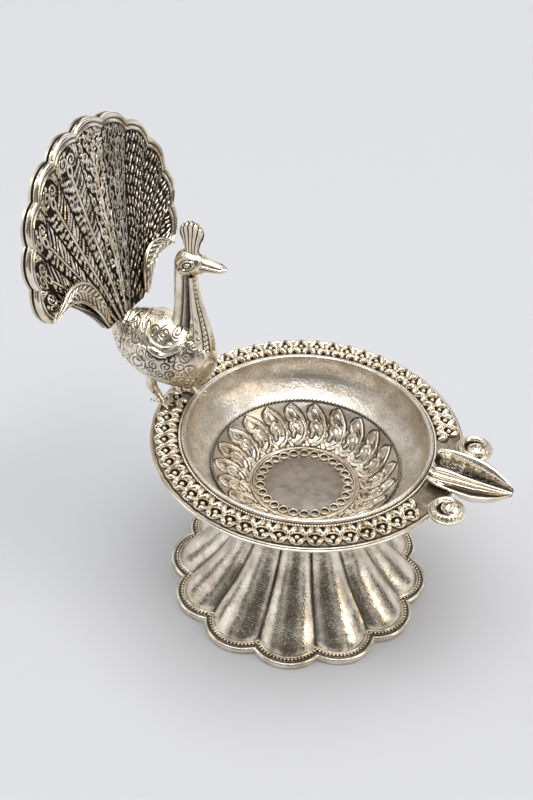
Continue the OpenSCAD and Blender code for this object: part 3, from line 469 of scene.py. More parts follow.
rows += [flute_row(share, out, pedestal_wall) for share, (out,) in zip(inner, follow(flute_shares, inner))]
rows.append(rows[-1] * [1, 1, 0] + [0, 0, foot_h / 2])
rows.append(around(lobes(flute_angles, foot_tip_r, foot_cusp_r, border_inside), foot_h / 2, flute_angles))
relief += [0.35] * (len(rows) - len(relief))
relief = [np.broadcast_to(height, len(flute_angles)) for height in relief]
piece("fluted_pedestal", *looped(rows, relief), pressed_silver, "worn_silver", "pedestal_shell")


# Clamp. A turned collar parts the bowl from the pedestal, and a stud through both takes a washer and a
# nut in the hollow below. The collar is silver. The rest is plain turned brass, like the legs' nuts.
def turned(name, metal, groove_mm, shine):
    """Turned metal: fine rings left by the tool, and a thin tarnish in cloudy patches."""
    material, tree, place = new_metal(name)
    inputs = {"Vector": place, "Scale": 1 / (groove_mm * mm), "Distortion": 0.6}
    rings = add(tree, "ShaderNodeTexWave", inputs, wave_type="BANDS", bands_direction="Z").outputs["Fac"]
    stain = noise(tree, place, 4.0, 3.0)
    dark = [0.45 * part for part in linear(metal)[:3]] + [1]
    rough = ranged(tree, stain, to_low=shine, to_high=shine + 0.25)
    coat(tree, mixed(tree, stain, linear(metal), dark), rough, dented(tree, rings, 0.03, Strength=0.4))
    return material


def clad(node, material):
    """Gives a CAD node that stays in sight its material."""
    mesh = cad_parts[node].data
    mesh.materials.clear()
    mesh.materials.append(material)


turned_silver = turned("turned_nickel_silver", "#DDD3C2", 0.5, 0.22)
turned_brass = turned("turned_brass", "#C9A35C", 0.4, 0.3)
clad("neck_collar", turned_silver)
for node in ("centre_stud", "stud_washer", "stud_nut", "leg_nuts"):
    clad(node, turned_brass)


# Bowl. It is spun from sheet, with a flat flange under the rim and a rolled bead on its lip. The
# inside wall is planished and polished, so it shows soft mottled reflections.
def closed(rings, relief, *ends):
    """Points, faces and relief of a solid through closed rings, with the relief of its two ends."""
    relief = np.broadcast_to(relief, np.shape(rings)[:2])
    return (*capped(rings), np.append(relief, ends))


spun_silver = silver("planished_nickel_silver", "#F6EFE3", "#D6CBBA", "#5A5146", 0.9, 0.16, 0.27,
                     stain_mm=7.0, grime=0.9, scratch=0.9)
rim_z = span("rim_band")[1][2]
lip_z = span("bowl_shell")[1][2]
bowl_low = span("bowl_shell")[0][2]
bowl_wall = 1.2
floor_z = bowl_low + bowl_wall
floor_r = 17.6
lip_r = 40.0
lip_bead_r = 0.75
flange_r = span("bowl_shell")[1][0]
band_t = 1.2
flange_t = 1.2
flange_z = rim_z - band_t - flange_t
hole_r = 1.5
bowl_shares = [
    [0, 0, 0], [0.12, 0.12, 0.05], [0.3, 0.35, 0.225], [0.52, 0.6, 0.455], [0.58, 0.66, 0.49],
    [0.7, 0.79, 0.585], [0.85, 0.93, 0.75], [0.94, 0.99, 0.91], [1, 1, 1],
]
wall_line = follow(bowl_shares, np.linspace(0, 1, 60))
wall_r = floor_r + wall_line[:, 0] * (lip_r - bowl_wall - floor_r)
wall_z = floor_z + wall_line[:, 1] * (lip_z - lip_bead_r - floor_z)
lip_turn = np.radians(np.arange(165, -60, -15))
cups_from = 12.4
profile = [(r, floor_z) for r in (hole_r, 6, 12.2, 12.5, 14, 15.5, floor_r - 0.7, floor_r - 0.5)]
profile += list(zip(wall_r, wall_z))
profile += [(lip_r - lip_bead_r + lip_bead_r * math.cos(t), lip_z - lip_bead_r + lip_bead_r * math.sin(t))
            for t in lip_turn]
flange_line = ((lip_r, flange_t), (flange_r, flange_t), (flange_r, 0), (lip_r, 0))
profile += [(r, flange_z + up) for r, up in flange_line]
profile += [(r + bowl_wall * 0.8, z - bowl_wall * 0.7) for r, z in list(zip(wall_r, wall_z))[54:4:-4]]
profile += [(floor_r, bowl_low), (6.0, bowl_low), (hole_r, bowl_low)]
bowl_angles = whole_turn(288)
rows = [around(r, z, bowl_angles) for r, z in profile]
relief = [[0.35 if cups_from < r < floor_r and z == floor_z else 0.6] for r, z in profile]
piece("spun_bowl", *closed(rows, relief, 0.8, 0.8), spun_silver, "polished_silver", "bowl_shell")


# Rosette. A struck ring of leaning petals lies on the bowl's lower wall, and its serrated edge makes
# the step halfway up. Its ground is dark, and the petals and their outlines are rubbed bright. A shallow
# groove just outside the main outlines is darkened as painted shade.
def bump(distance, reach):
    """A rounded ridge: 1 where the distance is 0 and 0 past the reach."""
    return np.clip(1 - (distance / reach) ** 2, 0, 1)


def dome(distance, reach):
    """A ridge or a ball with upright sides, as round as a wire."""
    return np.sqrt(bump(distance, reach))


def most(*fields):
    """The greatest of several fields at each place."""
    return functools.reduce(np.maximum, fields)


def reach(px, py, ax, ay, bx, by):
    """Distance from points to the line between two others."""
    along_x = bx - ax
    along_y = by - ay
    t = np.clip(((px - ax) * along_x + (py - ay) * along_y) / (along_x ** 2 + along_y ** 2), 0, 1)
    return np.hypot(px - ax - t * along_x, py - ay - t * along_y)


def near(px, py, line):
    """Distance from points to a broken line."""
    return np.min([reach(px, py, *a, *b) for a, b in zip(line, line[1:])], axis=0)


struck_silver = silver("struck_nickel_silver", "#F8F0E2", "#CFC2AE", "#3C342A", 0.8, 0.04, 0.19,
                       stain_mm=8.0, grime=0.4, scratch=0.3)
petal_count = 22
petal_lean = 5.0
rosette_in = 18.1
rosette_out = span("rosette_plate")[1][0]
rosette_angles = whole_turn(petal_count * 46)
rosette_rise = np.linspace(0, 1, 70)
radius = rosette_in + rosette_rise * (rosette_out - rosette_in)
ground = np.interp(radius, wall_r, wall_z)
share, turn = np.meshgrid(rosette_rise, rosette_angles, indexing="ij")
pitch = 360 / petal_count
petal_w = 6.1
tooth_count = 150
tooth_depth = 0.4
struck_t = 0.5
petal_h = 1.5
groove_depth = 0.12
x = ((petal_lean * share - turn + pitch / 2) % pitch - pitch / 2) / pitch * petal_w
y = share * (rosette_out - rosette_in) * 1.16
back_line = [(-1.7, 0.4), (-0.2, 0.9), (1.4, 2.2), (2.4, 4.4), (2.5, 6.8), (1.8, 9.2), (0.3, 11.4),
             (-0.7, 12.4)]
upper_cell = [(-0.7, 12.4), (-1.8, 11.6), (-2.4, 10.2), (-2.1, 8.9), (-1.2, 8.1), (-0.2, 8.3)]
lower_cell = [(0.9, 4.6), (1.2, 6.2), (0.6, 7.6), (-0.6, 8.0), (-1.8, 7.2), (-2.0, 6.0), (-1.3, 4.9),
              (-1.9, 3.6)]
base_leaf = [(2.0, 0.3), (1.9, 2.0), (2.9, 2.9), (3.3, 1.4)]
inner_fold = [(-0.8, 1.8), (0.9, 3.4), (1.6, 5.6), (1.2, 8.4)]
ridges = [
    (near(x, y, back_line), 0.6, 0.5), (near(x, y, upper_cell), 0.5, 0.38),
    (near(x, y, lower_cell), 0.46, 0.36), (near(x, y, base_leaf), 0.42, 0.32),
    (near(x + petal_w, y, base_leaf), 0.42, 0.32),
]
curled = most(*(height * bump(distance, half_w) for distance, height, half_w in ridges))
swell = most(0.42 * dome(np.hypot(x + 0.9, (y - 10.3) * 0.8), 1.35),
             0.36 * dome(np.hypot(x + 0.3, (y - 6.0) * 0.8), 1.4), 0.2 * bump(near(x, y, inner_fold), 0.5))
from_ridge = np.min([distance for distance, _, _ in ridges[:3]], axis=0)
# Painted shade: a band just outside the main outlines is sunk a little and darkened, as if in their shadow.
shaded_groove = bump(from_ridge - 0.72, 0.4) * (curled < 0.1)
tooth = 0.5 + 0.5 * np.sin(np.radians(turn * tooth_count))
teeth = 0.4 * smooth(0.92, 0.98, share) * tooth
raised = most(curled, swell * 0.9, teeth)
top_z = ground[:, None] + struck_t + raised * petal_h - groove_depth * shaded_groove
edge = radius[:, None] - tooth_depth * smooth(0.96, 1, share) * (1 - tooth)
top = np.stack([edge * np.cos(np.radians(turn)), edge * np.sin(np.radians(turn)), top_z], -1)
under_z = np.broadcast_to(ground[:, None] + 0.05, top_z.shape)
under = np.stack([top[..., 0], top[..., 1], under_z], -1)[::-8]
shade = np.clip(0.44 + 1.3 * curled + 0.9 * swell - 0.36 * shaded_groove, 0, 1)
shade = np.where(share > 0.93, 0.04 + teeth * 1.3, shade)
relief = np.concatenate([shade, np.zeros(under.shape[:2])])
rows = np.concatenate([top, under])
piece("petal_rosette", *looped(rows, relief), struck_silver, "chased_silver", "rosette_plate")


# Medallion. A plain stippled disc lies in the middle of the bowl, with a ring of small cups of wire
# round it, and a doubled wire round those. All are soldered to the floor of the bowl.
stippled_silver = silver("stippled_nickel_silver", "#9C9489", "#8E867B", "#4B443B", 0.3, 0.16, 0.48,
                         stain_mm=3.0, grime=0.9, scratch=0.4)
disc_r = span("medallion_disc")[1][0]
disc_top = span("medallion_disc")[1][2]
disc_mid = 6.0
disc_hole = 0.6
disc_line = [(disc_hole, disc_top), (disc_mid, disc_top), (disc_r - 0.25, disc_top),
             (disc_r, disc_top - 0.2), (disc_r, floor_z), (disc_mid, floor_z), (disc_hole, floor_z)]
disc_rows = [around(r, z, whole_turn(96)) for r, z in disc_line]
piece("stippled_disc", *capped(disc_rows), 0.6, stippled_silver, "worn_silver", "medallion_disc")


def ring(radius, z, section, angles):
    """Points of a ring whose section is a list of steps out from a radius and up from a height."""
    return [around(radius + out, z + up, angles) for out, up in section]


wire_silver = silver("drawn_nickel_silver", "#F6ECDC", "#D3C6B0", "#40382E", 1.2, 0.03, 0.17,
                     stain_mm=10.0, grime=0.15, scratch=0.1)
ring_d = span("medallion_ring")[1][2] - floor_z
ring_r = span("medallion_ring")[1][0] - ring_d / 2
ring_section = [(-0.55, 0), (-0.55, 0.55), (-0.42, 0.9), (-0.22, 1.02), (0, 0.68), (0.22, 1.02),
                (0.42, 0.9), (0.55, 0.55), (0.55, 0)]
ring_relief = [0.1, 0.6, 1, 1, 0, 1, 1, 0.6, 0.1]
rows = ring(ring_r, floor_z, ring_section, whole_turn(240))
piece("medallion_wire", *looped(rows, ring_relief), wire_silver, "polished_silver", "medallion_ring")

cup_count = 26
cup_r = 1.4
cup_section = [(-0.24, 0.05), (-0.24, 0.66), (-0.18, 0.9), (0, 1.0), (0.18, 0.9), (0.25, 0.66),
               (0.25, 0.05)]
cup_relief = [0.0, 0.25, 0.9, 1, 1, 0.8, 0.3]
cup_ring_r = span("medallion_cups")[1][0] - cup_r - 0.1
cup = piece("cup", *looped(ring(cup_r, 0, cup_section, whole_turn(24)), cup_relief), wire_silver, None)
cup_spots = around(cup_ring_r, floor_z, whole_turn(cup_count))
copies("wire_cups", cup_spots, cup, wire_silver, "chased_silver", "medallion_cups")


# Rim. A flat band lies on the flange, with a plain wire round its edge and a milled wire against the
# lip. Two staggered rows of cast ornaments are soldered to it: arches over a ball and two drops in the
# outer row, and drops that meet like a V in the inner one.
rim_r = span("rim_edge_wire")[1][0]
edge_d = 1.6
band_silver = silver("punched_nickel_silver", "#B5A998", "#8F8474", "#443C32", 0.7, 0.1, 0.4,
                     stain_mm=4.0, grime=0.9, scratch=0.3, level=0.45)
clad("rim_band", band_silver)


def round_section(d, sides):
    """A round section that rests on its lowest point."""
    turn = np.radians(whole_turn(sides))
    return [(d / 2 * math.cos(t), d / 2 + d / 2 * math.sin(t)) for t in turn]


edge_section = round_section(edge_d, 16)
groove_at = 2
groove_share = 0.78
out, up = edge_section[groove_at]
edge_section[groove_at] = (out * groove_share, edge_d / 2 + (up - edge_d / 2) * groove_share)
edge_relief = [0.2 if k == groove_at else 1.0 for k in range(len(edge_section))]
rows = ring(rim_r - edge_d / 2, span("rim_edge_wire")[0][2], edge_section, np.arange(360))
piece("rim_wire", *looped(rows, edge_relief), wire_silver, "polished_silver", "rim_edge_wire")

notch_count = 300
milled_d = span("rim_milled_wire")[1][2] - rim_z
milled_r = span("rim_milled_wire")[1][0] - milled_d / 2
milled_angles = whole_turn(notch_count * 6)
notch_lean = 180
notch_share = 0.4
rows = []
relief = []
for out, up in round_section(milled_d, 9):
    lean = notch_lean * (up / milled_d - 0.5)
    notch = smooth(0.0, 0.6, 0.5 + 0.5 * np.cos(np.radians(milled_angles * notch_count + lean)))
    shrink = 1 - notch_share + notch_share * notch
    height = rim_z + milled_d / 2 + (up - milled_d / 2) * shrink
    rows.append(around(milled_r + out * shrink, height, milled_angles))
    relief.append(notch)
piece("milled_wire", *looped(rows, relief), wire_silver, "polished_silver", "rim_milled_wire")


def pad(half_x, half_y, raised, rings, sides):
    """A round or oval pad whose upper side is raised by a field; with its relief."""
    turn = np.radians(whole_turn(sides))
    share = np.concatenate([[0.97], np.linspace(1, 1 / rings, rings)])
    x = half_x * share[:, None] * np.cos(turn)
    y = half_y * share[:, None] * np.sin(turn)
    height, relief = raised(x, y)
    height[0] = 0
    return closed(np.stack([x, y, height], -1), relief, 0, relief[-1].mean())


def drops(x, y, drop):
    """Two fat drops side by side, each a row of balls given by its place, its side and its radius."""
    balls = [dome(np.hypot(x - out, np.abs(y) - beside), size) * size / 0.85 for out, beside, size in drop]
    return 1.38 * most(*balls)


def ornament(raised):
    """A rim ornament's height over its thin base, and how bright it is rubbed at each place."""
    height = scale_base + raised
    return height, np.clip(height * 1.5 - 0.3, 0, 1)


def outer_scale(x, y):
    """A round arch towards the bowl over a ball, and two drops that swell at the outer edge."""
    arch = 0.9 * dome(np.hypot(x, y * 0.96) - 2.15, 0.24)
    drop = [(-0.5, 1.85, 0.3), (-0.05, 1.72, 0.45), (0.4, 1.5, 0.62), (0.8, 1.28, 0.76), (1.2, 1.1, 0.85)]
    ball = 0.9 * dome(np.hypot(x + 0.5, y), 0.7)
    return ornament(most(arch, ball, drops(x, y, drop)))


def inner_scale(x, y):
    """Two drops that start wide apart at the bowl's side and meet at the outer point, like a V."""
    drop = [(-1.45, 1.8, 0.45), (-0.95, 1.58, 0.72), (-0.4, 1.32, 0.94), (0.15, 1.08, 1.02),
            (0.65, 0.8, 0.92), (1.1, 0.55, 0.7)]
    return ornament(drops(x, y, drop))


cast_silver = silver("cast_nickel_silver", "#F9EFDD", "#D6C9B2", "#332C24", 0.9, 0.05, 0.15,
                     stain_mm=7.0, grime=0.3, scratch=0.3)
scale_base = 0.12
scale_count = 54
scale_gap_angle = 21.0
toe_length = 3.96
stride = 3.79
stance = 4.36
bird_x = -45.0
scale_rows = {
    "rim_scales_outer": (outer_scale, 2.4, 2.55, 0.0, 1.08),
    "rim_scales_inner": (inner_scale, 2.0, 2.45, 0.5, 1.04),
}
for name, (field, half_x, half_y, shift, grow) in scale_rows.items():
    row_r = span(name)[1][1] - half_x + (grow - 1) * half_x
    turns = (np.arange(scale_count) + shift) * 360 / scale_count
    spots = around(row_r, rim_z, turns)
    feet = [np.hypot(spots[:, 0] - bird_x - side * stride, spots[:, 1] - side * stance) for side in (-1, 1)]
    kept = (np.minimum(turns, 360 - turns) > scale_gap_angle) & (np.min(feet, 0) > toe_length)
    points, faces, relief = pad(half_x, half_y, field, 18, 44)
    pattern = piece("scale", points * [grow, grow, 1], faces, relief, cast_silver, None)
    copies(name.replace("rim", "cast"), spots[kept], pattern, cast_silver, "chased_silver", name)


# Spout. A cast trough leads from the lip to a point past the rim. Two thick ribs and both edges are
# rubbed bright, the grooves are black, with the groove along the near edge painted black as shadow, and
# a lobed leaf is soldered under it.
spout_shares = [
    [0, 0.8, 0, 0.62, 0.1, 0.3], [0.05, 0.86, 0.02, 0.62, 0.9, 0.35], [0.16, 0.96, 0.06, 0.6, 1, 0.55],
    [0.35, 1, 0.2, 0.53, 0.95, 0.85], [0.43, 1, 0.28, 0.97, 0.92, 0.95], [0.57, 0.96, 0.45, 1, 0.8, 1],
    [0.73, 0.78, 0.65, 0.84, 0.55, 1], [0.86, 0.52, 0.85, 0.58, 0.2, 1],
    [0.96, 0.24, 0.97, 0.36, 0.1, 0.6], [1, 0.08, 1, 0.2, 0.06, 0.2],
]
keel_shares = np.array([
    [1, 0], [0.96, 0.3], [0.7, 0.75], [0.3, 1], [-0.3, 1], [-0.7, 0.75], [-0.96, 0.3], [-1, 0],
])
spout_root_x = span("spout_trough")[0][0]
spout_len = span("spout_trough")[1][0] - spout_root_x
spout_w = 18.0
spout_h = 4.0
spout_drop = 2.4
trough_depth = 3.0
keel_depth = 6.2
keel_start = 0.15
least_wall = 0.4
spout_edge_w = 4.0
trough_share = 0.68
rope_turns = 5.2
grit_seed = 5
grit_h = 1.3
along = np.linspace(0, 1, 150)[:, None]
stations = np.array(spout_shares)
half, drop, keel, trough, edge = [np.interp(along, stations[:, 0], stations[:, k]) for k in range(1, 6)]
half = half * spout_w / 2
inside = half - edge * np.minimum(spout_edge_w, half / 2)
top_z = rim_z + spout_h - drop * spout_drop
across = np.linspace(-1, 1, 131)
v = across / trough_share
wall_in = smooth(1.0, 0.8, np.abs(v)) ** 0.8
near_rib = 0.8 * dome(v + 0.46, 0.21)
middle_rib = 0.75 * dome(v - 0.02, 0.2) * (0.82 + 0.18 * bump(along - 0.2, 0.16))
deep = wall_in * (1 - np.maximum(near_rib, middle_rib))
grit = np.random.default_rng(grit_seed).random((len(along), len(across)))
grit = (grit + np.roll(grit, 1, 0) + np.roll(grit, 1, 1) + np.roll(grit, 2, 0)) / 4 - 0.5
in_recess = smooth(0.2, 0.34, v) * smooth(0.0, 0.06, along) * smooth(0.86, 0.5, along)
in_trough = np.abs(across) < trough_share
outward = (np.abs(across) - trough_share) / (1 - trough_share)
y = np.where(in_trough, v * inside, np.sign(across) * (inside + outward * (half - inside)))
twist = 0.5 + 0.5 * np.cos(along * spout_len * rope_turns)
rope = 0.4 * bump(across - trough_share - 0.03, 0.06) * twist
# Painted shadow: a groove along the near edge only, cut in and painted black as the shade there.
shadowed_groove = 0.8 * bump(across + trough_share + 0.15, 0.1) * smooth(0.1, 0.3, along)
edges = 0.35 * bump(np.abs(across) - trough_share - 0.02, 0.05) + 0.25 * bump(np.abs(across) - 0.97, 0.05)
root_up = 0.45 * bump(along - 0.02, 0.03)
z = top_z - deep * trough * trough_depth + rope + edges - shadowed_groove + root_up - 0.3
z = z + grit_h * grit * in_recess * deep
z = np.minimum(z, rim_z + spout_h)


def underside(down):
    """Heights of the trough's underside at shares of the way down to its keel."""
    return top_z - keel_start - down * (keel * keel_depth - keel_start)


below = underside(np.interp(y / half, keel_shares[::-1, 0], keel_shares[::-1, 1]))
z = np.where(in_trough, np.maximum(z, below + least_wall), z)
x = np.broadcast_to(spout_root_x + along * spout_len, y.shape)
top = np.stack([x, y, z], -1)
# The near groove is painted black as shadow; the rest follows the trough's depth.
top_relief = np.clip(1.0 - 0.9 * deep - 1.8 * shadowed_groove + 0.9 * grit * in_recess, 0, 1)
round_keel = np.linspace(0, 1, 43)
keel_places = np.linspace(0, 1, len(keel_shares))
keel_y, keel_down = [np.interp(round_keel, keel_places, row) for row in keel_shares.T]
under = np.stack([x[:, :len(round_keel)], keel_y * half, underside(keel_down)], -1)
under_relief = np.broadcast_to(0.6 + 0.3 * np.abs(keel_y), under.shape[:2])
rings = np.concatenate([top, under], 1)
relief = np.concatenate([top_relief, under_relief], 1)
piece("ribbed_spout", *closed(rings, relief, 0.5, 1), cast_silver, "worn_silver", "spout_trough")

leaf_low, leaf_high = span("spout_leaf")
leaf_len = leaf_high[0] - leaf_low[0]
leaf_half_w = leaf_high[1]
leaf_h = 2.8
vein_count = 9
share = np.linspace(0, 1, 90)[:, None]
lobe = np.abs(np.sin(share * np.pi * 3.0 + 0.3)) ** 0.6
leaf_half = leaf_half_w * (0.45 + 0.55 * lobe) * smooth(0, 0.12, share) * (1.0 - 0.7 * share)
station_x = leaf_low[0] + share * leaf_len
keel_line = (top_z - keel * keel_depth)[:, 0]
keel_z = np.interp((station_x - spout_root_x) / spout_len, along[:, 0], keel_line)
turn = np.radians(whole_turn(36))
leaf_deep = 0.9 * leaf_h * (0.45 + 0.55 * lobe) * (1 - 0.5 * share) * smooth(0, 0.1, share) + 0.1
veins = 1 + 0.1 * np.cos(turn * vein_count) * lobe
y = leaf_half * np.cos(turn) * veins
z = keel_z - leaf_deep * np.clip(np.sin(turn), 0, 1) * veins - 0.1
z = z + 0.2 * np.clip(-np.sin(turn), 0, 1)
rings = np.stack([np.broadcast_to(station_x, y.shape), y, z], -1)
leaf_relief = 0.35 + 0.65 * lobe
piece("spout_underleaf", *closed(rings, leaf_relief, 1, 1), cast_silver, "worn_silver", "spout_leaf")


# Scrolls. One stands on each side of the spout: a cast plate with a curled rim that is milled like a
# rope on its outer side, and a ribbed tongue that swells out of the curl.
scroll_r = 5.8
scroll_d = 2.4
scroll_y = 15.3
scroll_base = 0.9
boss_h = 3.1
rib_h = 0.18
milling_count = 26
scroll_sides = 180
wind = scroll_r - scroll_d / 2


def scroll_face(x, y):
    """A scroll from above: its milled rim, the dark hollow inside it and the ribbed tongue."""
    out = np.hypot(x, y)
    angle = np.degrees(np.arctan2(-y, x)) % 360
    lap = ((angle - 50) % 360) / 360
    middle = wind - 0.9 * lap
    rim = dome(out - middle, scroll_d / 2) * smooth(0.0, 0.12, lap)
    milling = 0.5 + 0.5 * np.cos(np.radians(angle * milling_count))
    outside = smooth(middle + 0.35, middle + 0.6, out)
    height = scroll_base + 1.5 * rim - 0.25 * outside * (1 - milling)
    tongue = dome(np.hypot((x - 1.0) * 0.85, (y + 1.0) * 0.95), 2.9)
    rib = rib_h * np.abs(np.sin(x * 1.9 + y * 0.5 + 0.5))
    height = np.maximum(height, scroll_base + (boss_h - scroll_base) * tongue - rib * (tongue > 0))
    relief = np.maximum(1.5 * rim - 0.2, tongue * 2.2 - 2.6 * (rib_h - rib) * (rib < 0.05))
    relief = np.clip(relief, 0, 1)
    return height, np.where(outside > 0.5, 0.5 + 0.5 * smooth(0.1, 0.45, milling), relief)


for side, node in ((1, "scroll_left"), (-1, "scroll_right")):
    points, faces, relief = pad(scroll_r, scroll_r, scroll_face, 56, scroll_sides)
    relief[:scroll_sides] = relief[scroll_sides:2 * scroll_sides]
    points = points * [1, side, 1] + [rim_r + scroll_d / 4, side * scroll_y, rim_z]
    piece("curled_" + node, points, faces, relief, cast_silver, "worn_silver", node)


# Legs. Each is a cast shank with three toes and a claw behind, and a peg through the rim with a nut
# under it. The left foot is a step ahead.
def sweep(path, across, over, sides, wide, thick):
    """Rings of a bar along a path, with the ways across and over it, its half width and thickness."""
    turn = np.radians(whole_turn(sides))
    across, over = [np.broadcast_to(way, path.shape)[:, None] for way in (across, over)]
    wide = (np.reshape(wide, (-1, 1)) * np.cos(turn))[..., None]
    thick = (np.reshape(thick, (-1, 1)) * np.sin(turn))[..., None]
    return path[:, None] + wide * across + thick * over


def together(*solids):
    """Joins solids, each with its points, faces and relief, into one."""
    points = []
    faces = []
    relief = []
    for solid, sides, height in solids:
        first = sum(len(p) for p in points)
        faces += [[first + k for k in side] for side in sides]
        points.append(np.reshape(solid, (-1, 3)))
        relief.append(np.broadcast_to(height, len(points[-1])))
    return np.concatenate(points), faces, np.concatenate(relief)


def upright(path):
    """Directions across and over a path: flat across it, and square to both."""
    way = np.gradient(path, axis=0)
    across = np.cross(way, [0, 0, 1.0])
    across /= np.linalg.norm(across, axis=1)[:, None]
    over = np.cross(across, way)
    return across, over / np.linalg.norm(over, axis=1)[:, None]


body_z = 20.2
leg_shares = [
    [0.03, 0, 0.5], [0.09, 0.05, 0.72], [0.18, 0.35, 0.8], [0.27, 0.75, 0.9], [0.35, 0.95, 1],
    [0.6, 0.95, 1],
]
leg_r = 1.8
toe_root_r = 0.72
cuff_waves = 70
cuff_top = 0.6
joint_waves = 19
toe_angles = (-32, 0, 32, 180)
peg_r = 0.8
peg_into_foot = 1.0
front_axis = np.array([1.0, 0, 0])
side_axis = np.array([0, 1.0, 0])
bird_place = np.array([bird_x, 0, rim_z])
fine = np.linspace(0, 1, 40)
leg_places = np.linspace(0, 1, len(leg_shares))
up, back, thick = [np.interp(fine, leg_places, row) for row in np.transpose(leg_shares)]
thick = thick * leg_r
cuffs = np.cos(fine * cuff_waves) * (fine < cuff_top)
cuffed = thick * (1 + 0.08 * cuffs)
share = np.linspace(0, 1, 18)[:, None]
toe_r = toe_root_r * (1 - 0.5 * share ** 2) * (1 + 0.18 * np.cos(share * joint_waves))
for side, node in ((1, "leg_left"), (-1, "leg_right")):
    foot = bird_place + [side * stride, side * stance, 0]
    shank = foot + np.stack([-back * stride, 0 * fine, up * body_z], -1)
    rows = sweep(shank, front_axis, side_axis, 20, cuffed, cuffed)
    solids = [closed(rows, (0.75 + 0.25 * cuffs)[:, None], 0.8, 0.8)]
    for angle in np.radians(toe_angles):
        heading = np.array([math.cos(angle), math.sin(angle), 0])
        toe = foot + heading * share * toe_length + [0, 0, toe_root_r] * (1 - share * 0.55)
        solids.append((*capped(sweep(toe, *upright(toe), 12, toe_r, toe_r * 0.95)), 0.9))
    peg = np.stack([foot + [0, 0, z - rim_z] for z in (span(node)[0][2], rim_z + peg_into_foot)])
    solids.append((*capped(sweep(peg, front_axis, side_axis, 12, peg_r, peg_r)), 0.5))
    piece("cast_" + node, *together(*solids), cast_silver, "worn_silver", node)


# Body. The bird's body is cast, with folded wings, and chased all over with fine dark lines: curls, a
# round eye on each wing, a collar before the tail, and a net of cells low on the breast. A flared panel
# stands up on each side of the back, and the flank under it is darkened as painted shade.
body_shares = [
    [0, 0.1, 0.05, 0.05], [0.05, 0.09, 0.36, 0.36], [0.14, 0.06, 0.62, 0.62], [0.26, 0.03, 0.83, 0.84],
    [0.4, 0.01, 0.96, 0.96], [0.54, 0, 1, 1], [0.68, -0.015, 0.97, 0.97], [0.8, -0.03, 0.87, 0.87],
    [0.9, -0.04, 0.68, 0.7], [0.965, -0.04, 0.42, 0.46], [1, -0.04, 0.06, 0.08],
]
body_len = 36.0
body_back = 23.0
body_h = 25.6
body_w = 19.6
chased_h = 0.75
cut_depth = 0.2
sunk = 0.1
eye_x = -9.6
eye_up = -0.8
curl_rows = 7
curl_columns = 8
curl_gap = 3.7
curl_row_gap = 3.2
leaf_gap = 3.4
collar_lean = 0.12
collar_ridges = ((18.2, 0.5), (16.4, 0.3))
collar_cuts = ((17.3, 0.3), (15.8, 0.2))
flare_h = 1.3
cell_w = 1.7
spiral_laps = 1.7


def graph(at, *points):
    """The height at each place of a broken line through points, each a place and a height."""
    return np.interp(at, *np.transpose(points))


def lines(at, *places):
    """Several rounded lines side by side, each with its place and its half width."""
    return sum(bump(at - place, half_w) for place, half_w in places)


def raise_surface(rings, height):
    """Pushes the points of closed rings outward by a height, square to the surface."""
    along = np.gradient(rings, axis=0)
    round_ring = np.roll(rings, -1, 1) - np.roll(rings, 1, 1)
    out = np.cross(along, round_ring)
    out /= np.maximum(np.linalg.norm(out, axis=-1, keepdims=True), 1e-9)
    outward = rings - rings.mean(1, keepdims=True)
    out *= np.sign(np.einsum("ijk,ijk->", out, outward))
    return rings + out * height[..., None]


def spiral(x, y, middle_x, middle_y, size, hand, width=0.2):
    """A cut line that winds round a place, wound by hand = 1 or -1, as wide as given."""
    dx = x - middle_x
    dy = y - middle_y
    r = np.hypot(dx, dy)
    turn = np.arctan2(dy * hand, dx) / (2 * np.pi)
    step = size / spiral_laps
    lap = ((r / step - turn + 0.5) % 1 - 0.5) * step
    return bump(lap, width) * (r < size) * (r > 0.25)


chased_silver = silver("chased_nickel_silver", "#FAF1E0", "#D4C6AF", "#2B241D", 1.0, 0.05, 0.1,
                       stain_mm=8.0, grime=0.3, scratch=0.3)
stations = np.linspace(0, 1, 270)
rise, half_z, half_y = follow(body_shares, stations).T[..., None]
stations = stations[:, None]
turn = np.radians(whole_turn(350))
up_share = half_z / 2 * np.sin(turn)
in_wing = smooth(0.12, 0.3, stations) * smooth(0.76, 0.66, stations)
wing_half = graph(stations, (0.1, 0.03), (0.2, 0.13), (0.36, 0.22), (0.52, 0.23), (0.64, 0.19),
                  (0.74, 0.05))
from_wing = np.abs(up_share + 0.01) / wing_half
wing_out = 0.09 * in_wing * np.sqrt(smooth(1.02, 0.86, from_wing))
x = np.broadcast_to(stations * body_len - body_back, (len(stations), len(turn)))
y = half_y * body_w / 2 * np.cos(turn) * (1 + wing_out)
z = body_z + rise * body_h + half_z * body_h / 2 * np.sin(turn)
rings = np.stack([x, y, z], -1)
up = z - body_z
q = np.hypot(x - eye_x, up - eye_up)
raised = 0.55 * dome(q, 1.3) + 0.4 * bump(q - 2.4, 0.45)
cut = lines(q, (1.7, 0.3), (3.1, 0.25))
for row in range(curl_rows):
    for column in range(curl_columns):
        curl_x = -20.0 + curl_gap * column + 1.8 * (row % 2) + 0.5 * math.sin(5 * column + 3 * row)
        curl_up = -9.0 + curl_row_gap * row + 0.5 * math.cos(4 * column - 2 * row)
        curl_r = 1.8 + 0.3 * math.sin(7 * column + row)
        hand = 1 - 2 * ((column + row) % 2)
        cut = np.maximum(cut, spiral(x, up, curl_x, curl_up, curl_r, hand) * (q > 3.3))
wing_line = 0.8 * bump(np.abs(from_wing - 0.99) * 5, 0.16) * in_wing
leaf_rows = np.abs((x + 0.45 * np.abs(up) + 30) % leaf_gap - leaf_gap / 2)
leaf_lines = 0.7 * bump(leaf_rows, 0.2) * smooth(-6.0, -8.0, x) * smooth(3.0, 4.5, np.abs(up - 2.0))
cut = most(cut, wing_line, leaf_lines)
scale_row = (up + 20) / cell_w
